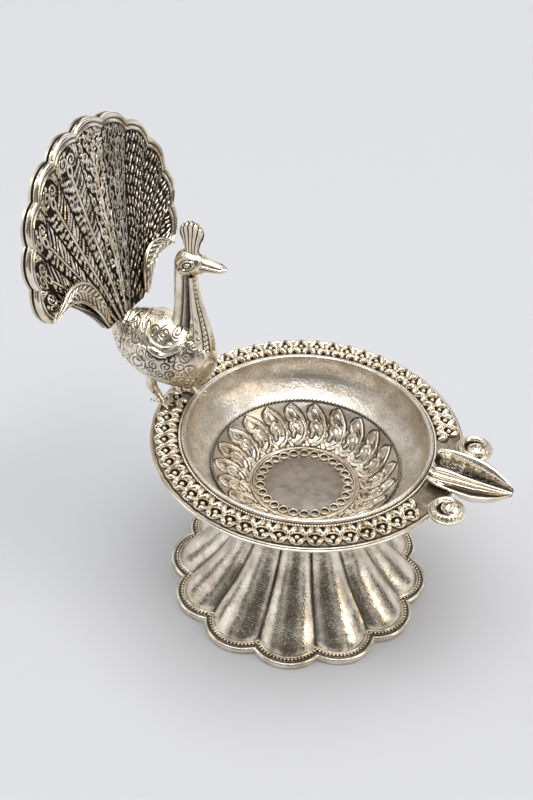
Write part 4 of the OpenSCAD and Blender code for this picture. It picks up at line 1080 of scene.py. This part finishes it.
scale_x = (x + cell_w / 2 * (np.floor(scale_row) % 2)) % cell_w - cell_w / 2
net = bump(np.hypot(scale_x, (scale_row % 1 - 0.1) * cell_w) - cell_w / 2, 0.24)
low_breast = smooth(3.5, 5.0, x) * smooth(-1.5, -3.0, up)
cut = np.where(low_breast > 0.5, net, cut)
raised = most(raised, *(0.5 * bump(x + back - collar_lean * up, half_w) for back, half_w in collar_ridges))
cut = most(cut, *(bump(x + back - collar_lean * up, half_w) for back, half_w in collar_cuts))
flare_edge = graph(x, (-8.4, 9.5), (-7.4, 6.6), (-6.0, 4.8), (-4.0, 3.7), (-1.5, 3.3), (1.0, 3.9),
                   (4.0, 6.0))
above = up - flare_edge
in_flare = smooth(-8.4, -7.4, x) * smooth(5.0, 3.0, x)
flare = flare_h * np.sqrt(smooth(0.0, 0.9, above)) * smooth(4.6, 1.4, above) * in_flare
on_flare = in_flare * smooth(-0.1, 0.1, above) * smooth(3.7, 3.4, above)
cut = cut * (1 - on_flare) + 0.8 * lines(above, (1.2, 0.14), (3.5, 0.16)) * in_flare
cut = np.maximum(cut, bump(above + 0.25, 0.3) * in_flare)
raised = np.maximum(raised * (1 - on_flare), flare)
# Painted shade: the flank just under each flare is darkened as if in its shadow; this plate is shade, not a
# part.
plate = smooth(0.0, -0.6, above) * smooth(-7.2, -6.0, x) * smooth(4.0, 2.6, x) * smooth(-7.0, -5.6, up)
ends = smooth(0.0, 0.08, stations) * smooth(1.0, 0.92, stations)
cut = np.clip(cut, 0, 1) * ends
rings = raise_surface(rings, raised * ends * chased_h - cut * cut_depth - sunk) + bird_place
relief = np.clip(0.88 + 0.2 * raised - 0.8 * cut - 0.4 * plate, 0, 1)
piece("chased_body", *closed(rings, relief, 0.5, 0.5), chased_silver, "worn_silver", "peacock_body")


# Neck and head. They are one casting: a back strand with fine cut lines, a front strand that swells to
# the breast behind a beaded line, a thin web sunk between them, and a head with ringed eyes and a
# blunt bill. The sides of the strands that face each other and the web between them are painted with
# shade, darkest next to the front strand.
head_z = 55.0
neck_d = 13.0
neck_shares = [
    [-0.16, 0.36, 0.62, 0.7], [-0.07, 0.45, 0.5, 0.6], [-0.02, 0.53, 0.4, 0.48], [0.01, 0.6, 0.33, 0.4],
    [0.022, 0.68, 0.3, 0.36], [0.026, 0.78, 0.31, 0.35], [0.028, 0.9, 0.33, 0.36], [0.04, 0.99, 0.36, 0.4],
]
strap_shares = [
    [0.15, 0.22, 0.45, 0.55], [0.18, 0.32, 0.62, 0.75], [0.205, 0.42, 0.7, 0.76], [0.205, 0.52, 0.6, 0.62],
    [0.19, 0.62, 0.44, 0.46], [0.165, 0.72, 0.3, 0.36], [0.145, 0.82, 0.21, 0.3], [0.13, 0.92, 0.17, 0.28],
]
web_shares = [
    [0.02, 0.36, 0.75, 0.4], [0.07, 0.53, 0.5, 0.3], [0.085, 0.7, 0.35, 0.22], [0.08, 0.92, 0.3, 0.22],
]
head_shares = [
    [0, -0.05, 0.12, 0.14], [0.04, -0.05, 0.55, 0.55], [0.11, -0.03, 0.86, 0.84], [0.22, 0, 1, 1],
    [0.34, 0.01, 0.97, 0.97], [0.45, 0.02, 0.82, 0.84], [0.53, 0.04, 0.66, 0.7], [0.61, 0.06, 0.54, 0.64],
    [0.78, 0.08, 0.42, 0.56], [0.93, 0.07, 0.28, 0.42], [1, 0.06, 0.1, 0.16],
]
head_len = 16.8
head_h = 8.6
head_w = 7.2
head_back = 0.06 * head_len
head_relief_h = 0.8
head_cut = 0.28
strand_cut = 0.22
throat_bead_gap = 1.6
neck_row_gap = 3.2
feathered_to = 14
crescent_gap = 4.2


def strand(shares, count, sides):
    """Rings of one strand of the neck, with how far along it and at what turn each point lies."""
    at = np.linspace(0, 1, count)
    table = np.column_stack([np.linspace(0, 1, len(shares)), shares])
    x, z, thick, wide = follow(table, at).T
    path = np.stack([x * body_len, 0 * at, z * head_z], -1)
    way = np.gradient(path, axis=0)
    ahead = np.cross(side_axis, way)
    ahead /= np.linalg.norm(ahead, axis=1)[:, None]
    rings = sweep(path, side_axis, ahead, sides, wide * neck_d / 2, thick * neck_d / 2)
    walked = np.concatenate([[0], np.cumsum(np.linalg.norm(np.diff(path, axis=0), axis=1))])
    return rings, walked[:, None], np.radians(whole_turn(sides))


rings, walked, turn = strand(neck_shares, 170, 96)
front = np.sin(turn)
rear_lines = lines(front, (-0.78, 0.05), (-0.52, 0.05))
from_row = (walked - 1.4 * np.abs(np.cos(turn))) % neck_row_gap - neck_row_gap / 2
feathers = bump(from_row, 0.22) * (walked < feathered_to) * (front > -0.4)
cut = np.clip(rear_lines + 0.6 * feathers, 0, 1) * np.ones_like(rings[..., 0])
# Painted shade: the back strand's side that faces the front strand is darkened.
relief = np.clip(0.92 - 0.9 * cut - 0.8 * smooth(0.3, 0.8, front), 0, 1)
neck = closed(raise_surface(rings, -strand_cut * cut), relief, 0, 0)

rings, walked, turn = strand(strap_shares, 190, 96)
front = np.sin(turn)
side = np.abs(np.cos(turn))
phase = np.abs(np.cos(walked * np.pi / throat_bead_gap))
beads = bump(side - 0.55, 0.15) * (front > 0) * np.sqrt(phase)
gaps = bump(side - 0.55, 0.2) * (front > 0) * smooth(0.5, 0.2, phase)
rails = lines(side, (0.24, 0.1), (0.84, 0.05)) * (front > 0)
low = smooth(26.0, 22.0, walked)
from_crescent = np.hypot(walked % crescent_gap - crescent_gap / 2, 4.0 * (front + 0.1))
crescents = bump(from_crescent - 1.4, 0.4) * (side > 0.5) * low
balls = most(*(dome(np.hypot(walked - ball_up, 4.2 * (front - 0.25)), 1.2) for ball_up in (13.0, 17.2)))
raised = most(0.6 * beads, 0.5 * rails, 0.45 * crescents, 0.9 * balls * (side > 0.5))
cut = lines(side, (0.35, 0.06), (0.76, 0.05)) * (front > 0) + bump(front + 0.15, 0.06) + gaps
# Painted shade: the front strand's side that faces the back strand is darkened.
relief = np.clip(0.72 + 0.6 * raised - 0.8 * cut - 0.9 * smooth(-0.35, -0.8, front), 0, 1)
strap = closed(raise_surface(rings, chased_h * raised - cut_depth * cut), relief, 0.5, 0.5)

rings, walked, turn = strand(web_shares, 60, 24)
# Painted shadow: the web is dark, darkest next to the front strand.
web = closed(rings, 0.1 + 0.5 * smooth(0.5, -0.6, np.sin(turn)), 0, 0)

stations = np.linspace(0, 1, 150)
rise, half_z, half_y = follow(head_shares, stations).T[..., None]
stations = stations[:, None]
turn = np.radians(whole_turn(110))
y = half_y * head_w / 2 * np.cos(turn)
x = np.broadcast_to(stations * head_len - head_back, y.shape)
up = rise * head_h + half_z * head_h / 2 * np.sin(turn)
rings = np.stack([x, y, head_z + up], -1)
eye_x = 4.3
eye_up = 0.9
tilted_x = (x - eye_x) * 0.94 + (up - eye_up) * 0.34
tilted_up = (up - eye_up) * 0.94 - (x - eye_x) * 0.34
q = np.hypot(tilted_x * 0.75, tilted_up * 1.15)
eye = 0.5 * dome(q, 0.7) + 0.42 * bump(q - 1.45, 0.32)
from_cheek = np.hypot(x - 3.2, up + 2.3)
cheek = 0.45 * dome(from_cheek, 1.9)
brow = 0.35 * bump(np.hypot(x - 4.0, (up - 0.6) * 1.1) - 2.9, 0.35) * (up > 0.6)
bill_root = 0.4 * bump(x - 7.4 - 0.3 * np.abs(up), 0.5)
bill_ridge = 0.35 * bump(up - 1.15 + 0.06 * (x - 7), 0.45) * smooth(7.8, 8.6, x)
bill_line = bump(up - 0.15, 0.28) * smooth(7.6, 8.4, x) * smooth(0.0, 0.6, np.abs(y))
nostril = bump(np.hypot(x - 9.6, (up - 0.75) * 1.5), 0.5)
cut = bump(q - 1.02, 0.22) + bill_line + nostril + bump(from_cheek - 2.15, 0.2) + bump(q - 1.95, 0.15)
cut = np.clip(cut, 0, 1)
raised = most(eye, cheek, brow, bill_root, bill_ridge)
ends = smooth(0, 0.05, stations)
relief = np.clip(0.85 + 0.5 * raised - 1.0 * cut, 0, 1)
head = closed(raise_surface(rings, (raised * head_relief_h - cut * head_cut) * ends), relief, 0.5, 1)
points, faces, relief = together(neck, strap, web, head)
piece("cast_neck_and_head", points + bird_place, faces, relief, cast_silver, "worn_silver", "peacock_neck")


# Crest. It is a cast block of five upright feathers side by side, each with a rounded top, a rib and a
# dark line between it and the next.
crest_root = bird_place + [0.27 * head_len, 0, head_z + 0.4 * head_h]
crest_h = span("peacock_crest")[1][2] - crest_root[2]
crest_w = 7.8
crest_t = 2.8
crest_lobes = 5
rise = np.linspace(0, 1, 80)[:, None]
across = np.linspace(-1, 1, 121)
in_lobe = (across * crest_lobes / 2 + 0.5) % 1 * 2 - 1
in_lobe[-1] = 1
top_share = 1 - 0.24 * np.abs(across) ** 2 - 0.1 * (1 - np.sqrt(np.clip(1 - in_lobe ** 2, 0, 1)))
half_w = crest_w * graph(rise, (0, 0.27), (0.25, 0.29), (0.55, 0.36), (0.8, 0.47), (0.95, 0.5), (1, 0.49))
grown = rise * top_share * crest_h
sideways = across * half_w
valley = bump(np.abs(in_lobe) - 1, 0.3) * smooth(0.0, 0.15, rise)
rib = bump(in_lobe, 0.25) * smooth(0.05, 0.2, rise) * smooth(0.86, 0.8, rise)
bud = dome(np.hypot(in_lobe * 0.8, (rise - 0.9) * 9), 0.8)
thin = np.sqrt(np.clip(1 - 0.85 * across ** 4, 0.05, 1))
half_t = crest_t / 2 * (1 - 0.3 * valley - 0.12 * (1 - rib)) * thin
half_t = np.minimum(half_t + 0.1 * bud, crest_t / 2) * (1 - 0.75 * smooth(0.93, 1.0, rise))
relief = np.clip(0.75 - 0.75 * valley + 0.25 * rib + 0.3 * bud, 0, 1)
front_face = np.stack([sideways, half_t, grown], -1)
back_face = np.stack([sideways, -half_t, grown], -1)[:, ::-1]
rings = np.concatenate([front_face, back_face], 1) + crest_root
relief = np.concatenate([relief, relief[:, ::-1]], 1)
piece("cast_crest", *closed(rings, relief, 0, 1), cast_silver, "worn_silver", "peacock_crest")


# Tail. Two fan-shaped plates stand back to back on a tang that is set into the body. The front one is
# struck with eleven feathers: broad barbs on the near side, leaves at the top, fine strokes beyond.
fan_r = 37.0
fan_rise = 28.6
fan_lobes = 11
fan_sweep = 231.0
fan_cusp = 0.955
fan_roll = 6.0
fan_shift = 1.5
near_bow = 7.0
far_bow = 4.0
stem_w = 20.0
plate_t = 1.1
plate_gap = 1.0
ridge_h = 0.7
tip_curl = 1.6
feather_h = 0.42
feather_ground = 0.4
edge_w = 3.2
barb_gap = 2.3
leaf_cell = (2.5, 3.7)
dash_cell = (1.45, 3.3)
whorls = ((-1.9, 6.3, 2.5, 1, 0.42), (2.0, 7.6, 2.3, -1, 0.4))
side_whorl = (5.2, 5.0, 1.4)
fan_yaw = math.radians(-8)
fan_lean = math.radians(-14)
fan_turn = np.array(Matrix.Rotation(fan_yaw, 3, "Z") @ Matrix.Rotation(fan_lean, 3, "Y"))
fan_root = bird_place + [-body_back + 0.11 * body_len, 0, body_z + 0.35 * body_h]


def on_fan(points):
    """Takes points from the fan's own frame (across, up, forward) to the lamp's."""
    return points[..., [2, 0, 1]] @ fan_turn.T + fan_root


def fan_edge(at):
    """The fan's scalloped outline at shares of its sweep, from the near side to the far side."""
    edge = lobes(at * fan_sweep, fan_r, fan_r * fan_cusp, half=fan_sweep / fan_lobes / 2)
    angle = np.radians((at - 0.5) * fan_sweep + fan_roll)
    return np.stack([edge * np.sin(angle) - fan_shift, fan_rise + edge * np.cos(angle)], -1)


def fan_at(rays, steps):
    """Points at steps along the fan's bowed rays, from its root to its edge."""
    foot = np.stack([(rays - 0.5) * stem_w, 0 * rays], -1)
    bow = np.abs(2 * rays - 1) ** 3 * np.where(rays < 0.5, near_bow, far_bow)
    points = foot[:, None] + steps[None, :, None] * (fan_edge(rays) - foot)[:, None]
    points[..., 1] += 4 * steps * (1 - steps) * bow[:, None]
    return points


def plate(front, back):
    """Points and faces of a closed plate from the points of its front and its back, row by row."""
    rings = np.concatenate([front, back], 1)
    count, sides = rings.shape[:2]
    fronts = front.shape[1]
    faces = weave(count, sides, False, True).tolist()
    for row in (0, count - 1):
        apart = np.linalg.norm(front[row][:, None] - back[row][None], axis=2)
        behind = np.minimum.accumulate(apart.argmin(1))
        behind[0] = sides - fronts - 1
        behind[-1] = 0
        strip = []
        for k in range(fronts - 1):
            strip.append([k, k + 1, fronts + behind[k]])
            strip += [[k + 1, fronts + b - 1, fronts + b] for b in range(behind[k], behind[k + 1], -1)]
        faces += [[row * sides + int(c) for c in (side if row else side[::-1])] for side in strip]
    return rings.reshape(-1, 3), faces


def lifted(points, height):
    """Points of the fan set at a height over the plane between its two plates."""
    height = np.broadcast_to(height, points.shape[:2])
    return np.concatenate([points, height[..., None]], -1)


def cells(x, y, width, height):
    """Place within staggered cells of a size, and a steady odd number for each cell from -1 to 1."""
    row = np.floor(y / height)
    shifted = x / width + 0.5 * (row % 2)
    column = np.floor(shifted)
    odd = np.sin(row * 12.9 + column * 78.2)
    return (shifted - column - 0.5) * width, (y / height - row - 0.5) * height, odd


rays_in_lobe = 58
rays = np.linspace(0, 1, fan_lobes * rays_in_lobe + 1)
steps = np.concatenate([np.linspace(0, 0.85, 106), np.linspace(0.85, 1, 38)[1:]])
face_points = fan_at(rays, steps)
walked = np.linalg.norm(np.diff(face_points, axis=1), axis=2)
walked = np.concatenate([np.zeros((len(rays), 1)), np.cumsum(walked, 1)], 1)
from_edge = walked[:, -1:] - walked
half_lobe = np.linalg.norm(np.gradient(face_points, axis=0), axis=2) * rays_in_lobe / 2
feather = np.minimum(np.floor(rays * fan_lobes), fan_lobes - 1)[:, None]
w = ((rays * fan_lobes)[:, None] - feather) * 2 - 1
side_way = w * half_lobe
from_side = half_lobe - np.abs(side_way)
double_edge = graph(from_edge, (0, 0.2), (0.42, 0.95), (0.98, 1), (1.68, 0), (2.52, 0.8), (3.22, 0))
eye = most(*(spiral(side_way, from_edge, *whorl) for whorl in whorls),
           bump(np.hypot(side_way / 1.1, (from_edge - 10.4) / 1.9) - 0.9, 0.35),
           0.9 * dome(np.hypot(side_way + 0.2, from_edge - 4.4), 0.8))
in_eye = smooth(1.04, 0.96, np.hypot(side_way / 4.6, (from_edge - 7.4) / 4.8))
swirl = most(*(spiral(side_way * way, from_edge, *side_whorl, way, 0.34) for way in (-1, 1)))
rachis = bump(side_way, 0.5) * smooth(10.6, 11.6, from_edge) * smooth(0.6, 1.0, half_lobe)
wander = 0.4 * np.sin(from_edge * 0.9 + feather * 2.1) + 0.25 * np.sin(from_edge * 2.3 + side_way * 1.7)
slant = (from_edge + 0.35 * np.abs(side_way) + 0.09 * side_way ** 2 + wander) / barb_gap
swell = 0.35 * np.sin(from_edge * 1.1 + side_way * 0.9 + feather)
barb = smooth(-0.05, 0.55, np.cos(slant * 2 * np.pi) + swell) * smooth(0.55, 0.8, np.abs(side_way))
barb *= smooth(0.25, 0.6, from_side) * (0.9 - 0.1 * np.abs(w))
leaf_x, leaf_y, odd = cells(side_way + 0.35 * np.sin(from_edge), from_edge + 0.3 * side_way, *leaf_cell)
leaf_x = leaf_x + 0.3 * leaf_y * np.sign(side_way) + 0.25 * odd
leaf_q = np.hypot(leaf_x / 0.95, leaf_y / 1.6)
leaves = np.maximum(bump(leaf_q - 0.92, 0.3), bump(leaf_x, 0.2) * (leaf_y < 0.3) * (leaf_q < 1))
dash_x, dash_y, odd = cells(side_way, from_edge, *dash_cell)
dash_x = dash_x - 0.22 * np.sin(dash_y * 1.9 + odd * 3) + 0.12 * odd
dash = bump(dash_x, 0.34 + 0.1 * odd) * dome(dash_y - 0.3 * odd, 1.3)
near_part = smooth(4.6, 3.6, feather) * np.ones_like(w)
far_part = smooth(5.4, 6.6, feather) * np.ones_like(w)
inner = near_part * np.maximum(rachis, barb) + (1 - near_part - far_part) * np.maximum(leaves, 0.7 * rachis)
inner = np.maximum(inner, far_part * dash)
in_eye = in_eye * near_part
field = inner * (1 - in_eye) + eye * in_eye
round_eye = (near_part > 0.5) & (from_edge < 8.0) & (in_eye < 0.5)
field = np.where(round_eye, np.maximum(swirl, 0.8 * leaves), field)
field *= smooth(edge_w, edge_w + 0.4, from_edge) * smooth(0.1, 0.45, from_side)
arched = graph(w, (-1, 0), (-0.5, 0.7), (0, 1), (0.5, 0.7), (1, 0))
ridge = graph(steps, (0, 0.2), (0.18, 0.8), (0.4, 1), (0.8, 1), (0.93, 0.8), (0.96, 0.4), (0.985, 0.2),
              (1, 0))
ridge = ridge * arched
curl_up = tip_curl * graph(steps, (0, 0), (0.62, 0), (0.8, 0.2), (0.93, 0.7), (0.97, 0.93), (1, 1))
front_z = plate_gap / 2 + plate_t + curl_up + ridge_h * (0.8 * ridge + double_edge)
front_z = front_z + feather_h * (field - feather_ground)
front = lifted(face_points, front_z)
back_steps = [len(steps) - 1, len(steps) - 20, 90, 60, 30, 0]
back = lifted(face_points[:, back_steps], (plate_gap / 2 + curl_up)[back_steps])
relief = np.clip(field * 1.4 - 0.18, 0, 1)
edge_relief = graph(from_edge, (0, 1), (0.2, 1), (0.9, 1), (1.45, 0.4), (1.7, 0.05), (2.0, 0.3), (2.5, 0.9),
                    (edge_w, 0.1))
relief = np.where(from_edge < edge_w, edge_relief, relief)
back_relief = np.full(back.shape[:2], 0.5)
back_relief[:, 0] = 1.0
relief = np.concatenate([relief, back_relief], 1).ravel()
fan = plate(on_fan(front), on_fan(back))
piece("fan_of_feathers", *fan, relief, chased_silver, "chased_silver", "tail_front_plate")

rays = np.linspace(0, 1, fan_lobes * 14 + 1)
steps = np.concatenate([np.linspace(0, 0.7, 10), np.linspace(0.74, 1, 18)])
face_points = fan_at(rays, steps)
from_edge = (1 - steps)[None, :] * np.linalg.norm(face_points[:, -1] - face_points[:, 0], axis=1)[:, None]
curl_up = tip_curl * graph(steps, (0, 0), (0.7, 0), (0.9, 0.4), (1, 1))
inner_z = -plate_gap / 2 + curl_up
edge_bead = 0.25 * bump(from_edge - 0.8, 0.8)
outer_z = inner_z - plate_t + 0.25 - edge_bead
inner = on_fan(lifted(face_points, inner_z))
outer = on_fan(lifted(face_points, outer_z)[:, ::-1])
rolled_silver = silver("rolled_nickel_silver", "#F2E9DA", "#DCD1BF", "#5A5146", 0.8, 0.05, 0.3,
                       stain_mm=20.0, grime=0.5, scratch=0.6)
piece("plain_fan_back", *plate(inner, outer), 0.8, rolled_silver, "worn_silver", "tail_back_plate")
for node in ("tail_tang", "tail_spacer"):
    clad(node, turned_silver)


# Coverts. Two long curled feathers, cast and veined like herringbone inside a rolled border, are
# soldered along the arched lower edges of the fan.
covert_shares = [
    [0, 0, 0.35, 0.5], [0.12, 0.1, 0.7, 0.9], [0.28, 0.19, 0.95, 1], [0.45, 0.22, 1, 1],
    [0.62, 0.19, 0.95, 1], [0.78, 0.12, 0.8, 0.9], [0.91, 0.05, 0.5, 0.7], [1, 0, 0.15, 0.3],
]
covert_w = 6.4
covert_start = 0.04
vein_h = 0.35
vein_ground = 0.6
vein_gap = 1.9
covert_reach = 1 - covert_w / 4 / fan_r - covert_start
covert_front = plate_gap / 2 + plate_t + ridge_h
share = np.linspace(0, 1, 170)
up, wide, thick = follow(covert_shares, share).T[..., None]
stations = covert_start + share * covert_reach
share = share[:, None]
turn = np.radians(whole_turn(64))
for side, node in ((1, "tail_covert_left"), (-1, "tail_covert_right")):
    edge = fan_at(np.array([(1 + side) / 2]), stations)[0]
    chord = edge[-1] - edge[0]
    over = side * np.array([-chord[1], chord[0]]) / np.linalg.norm(chord)
    flat = edge + (up + wide / 2) * covert_w * over
    path = np.concatenate([flat, covert_front + thick * plate_t + share ** 2 * tip_curl], 1)
    ways = (np.append(over, 0), np.array([0, 0, 1.0]))
    rows = sweep(path, *ways, len(turn), wide * covert_w / 2, thick * plate_t)
    lateral = np.cos(turn) * wide * covert_w / 2
    walked = np.linalg.norm(chord) * share
    spine = lateral - 0.4 * np.sin(walked * 0.5)
    slant = (walked + np.abs(spine) * 1.1) / vein_gap
    barb = smooth(-0.3, 0.5, np.cos(slant * 2 * np.pi)) * smooth(0.35, 0.6, np.abs(spine))
    field = np.maximum(0.8 * barb, bump(spine, 0.4))
    rolled = smooth(0.78, 0.84, np.abs(np.cos(turn))) * np.ones_like(field)
    gap = bump(np.abs(np.cos(turn)) - 0.72, 0.08) * (np.sin(turn) > 0)
    field = np.maximum(field * (1 - rolled), rolled) * (1 - gap)
    rows = raise_surface(rows, (field - vein_ground) * vein_h)
    feather = closed(on_fan(rows), np.clip(0.15 + field * 0.9, 0, 1), 0.5, 0.5)
    piece("veined_" + node, *feather, cast_silver, "worn_silver", node)
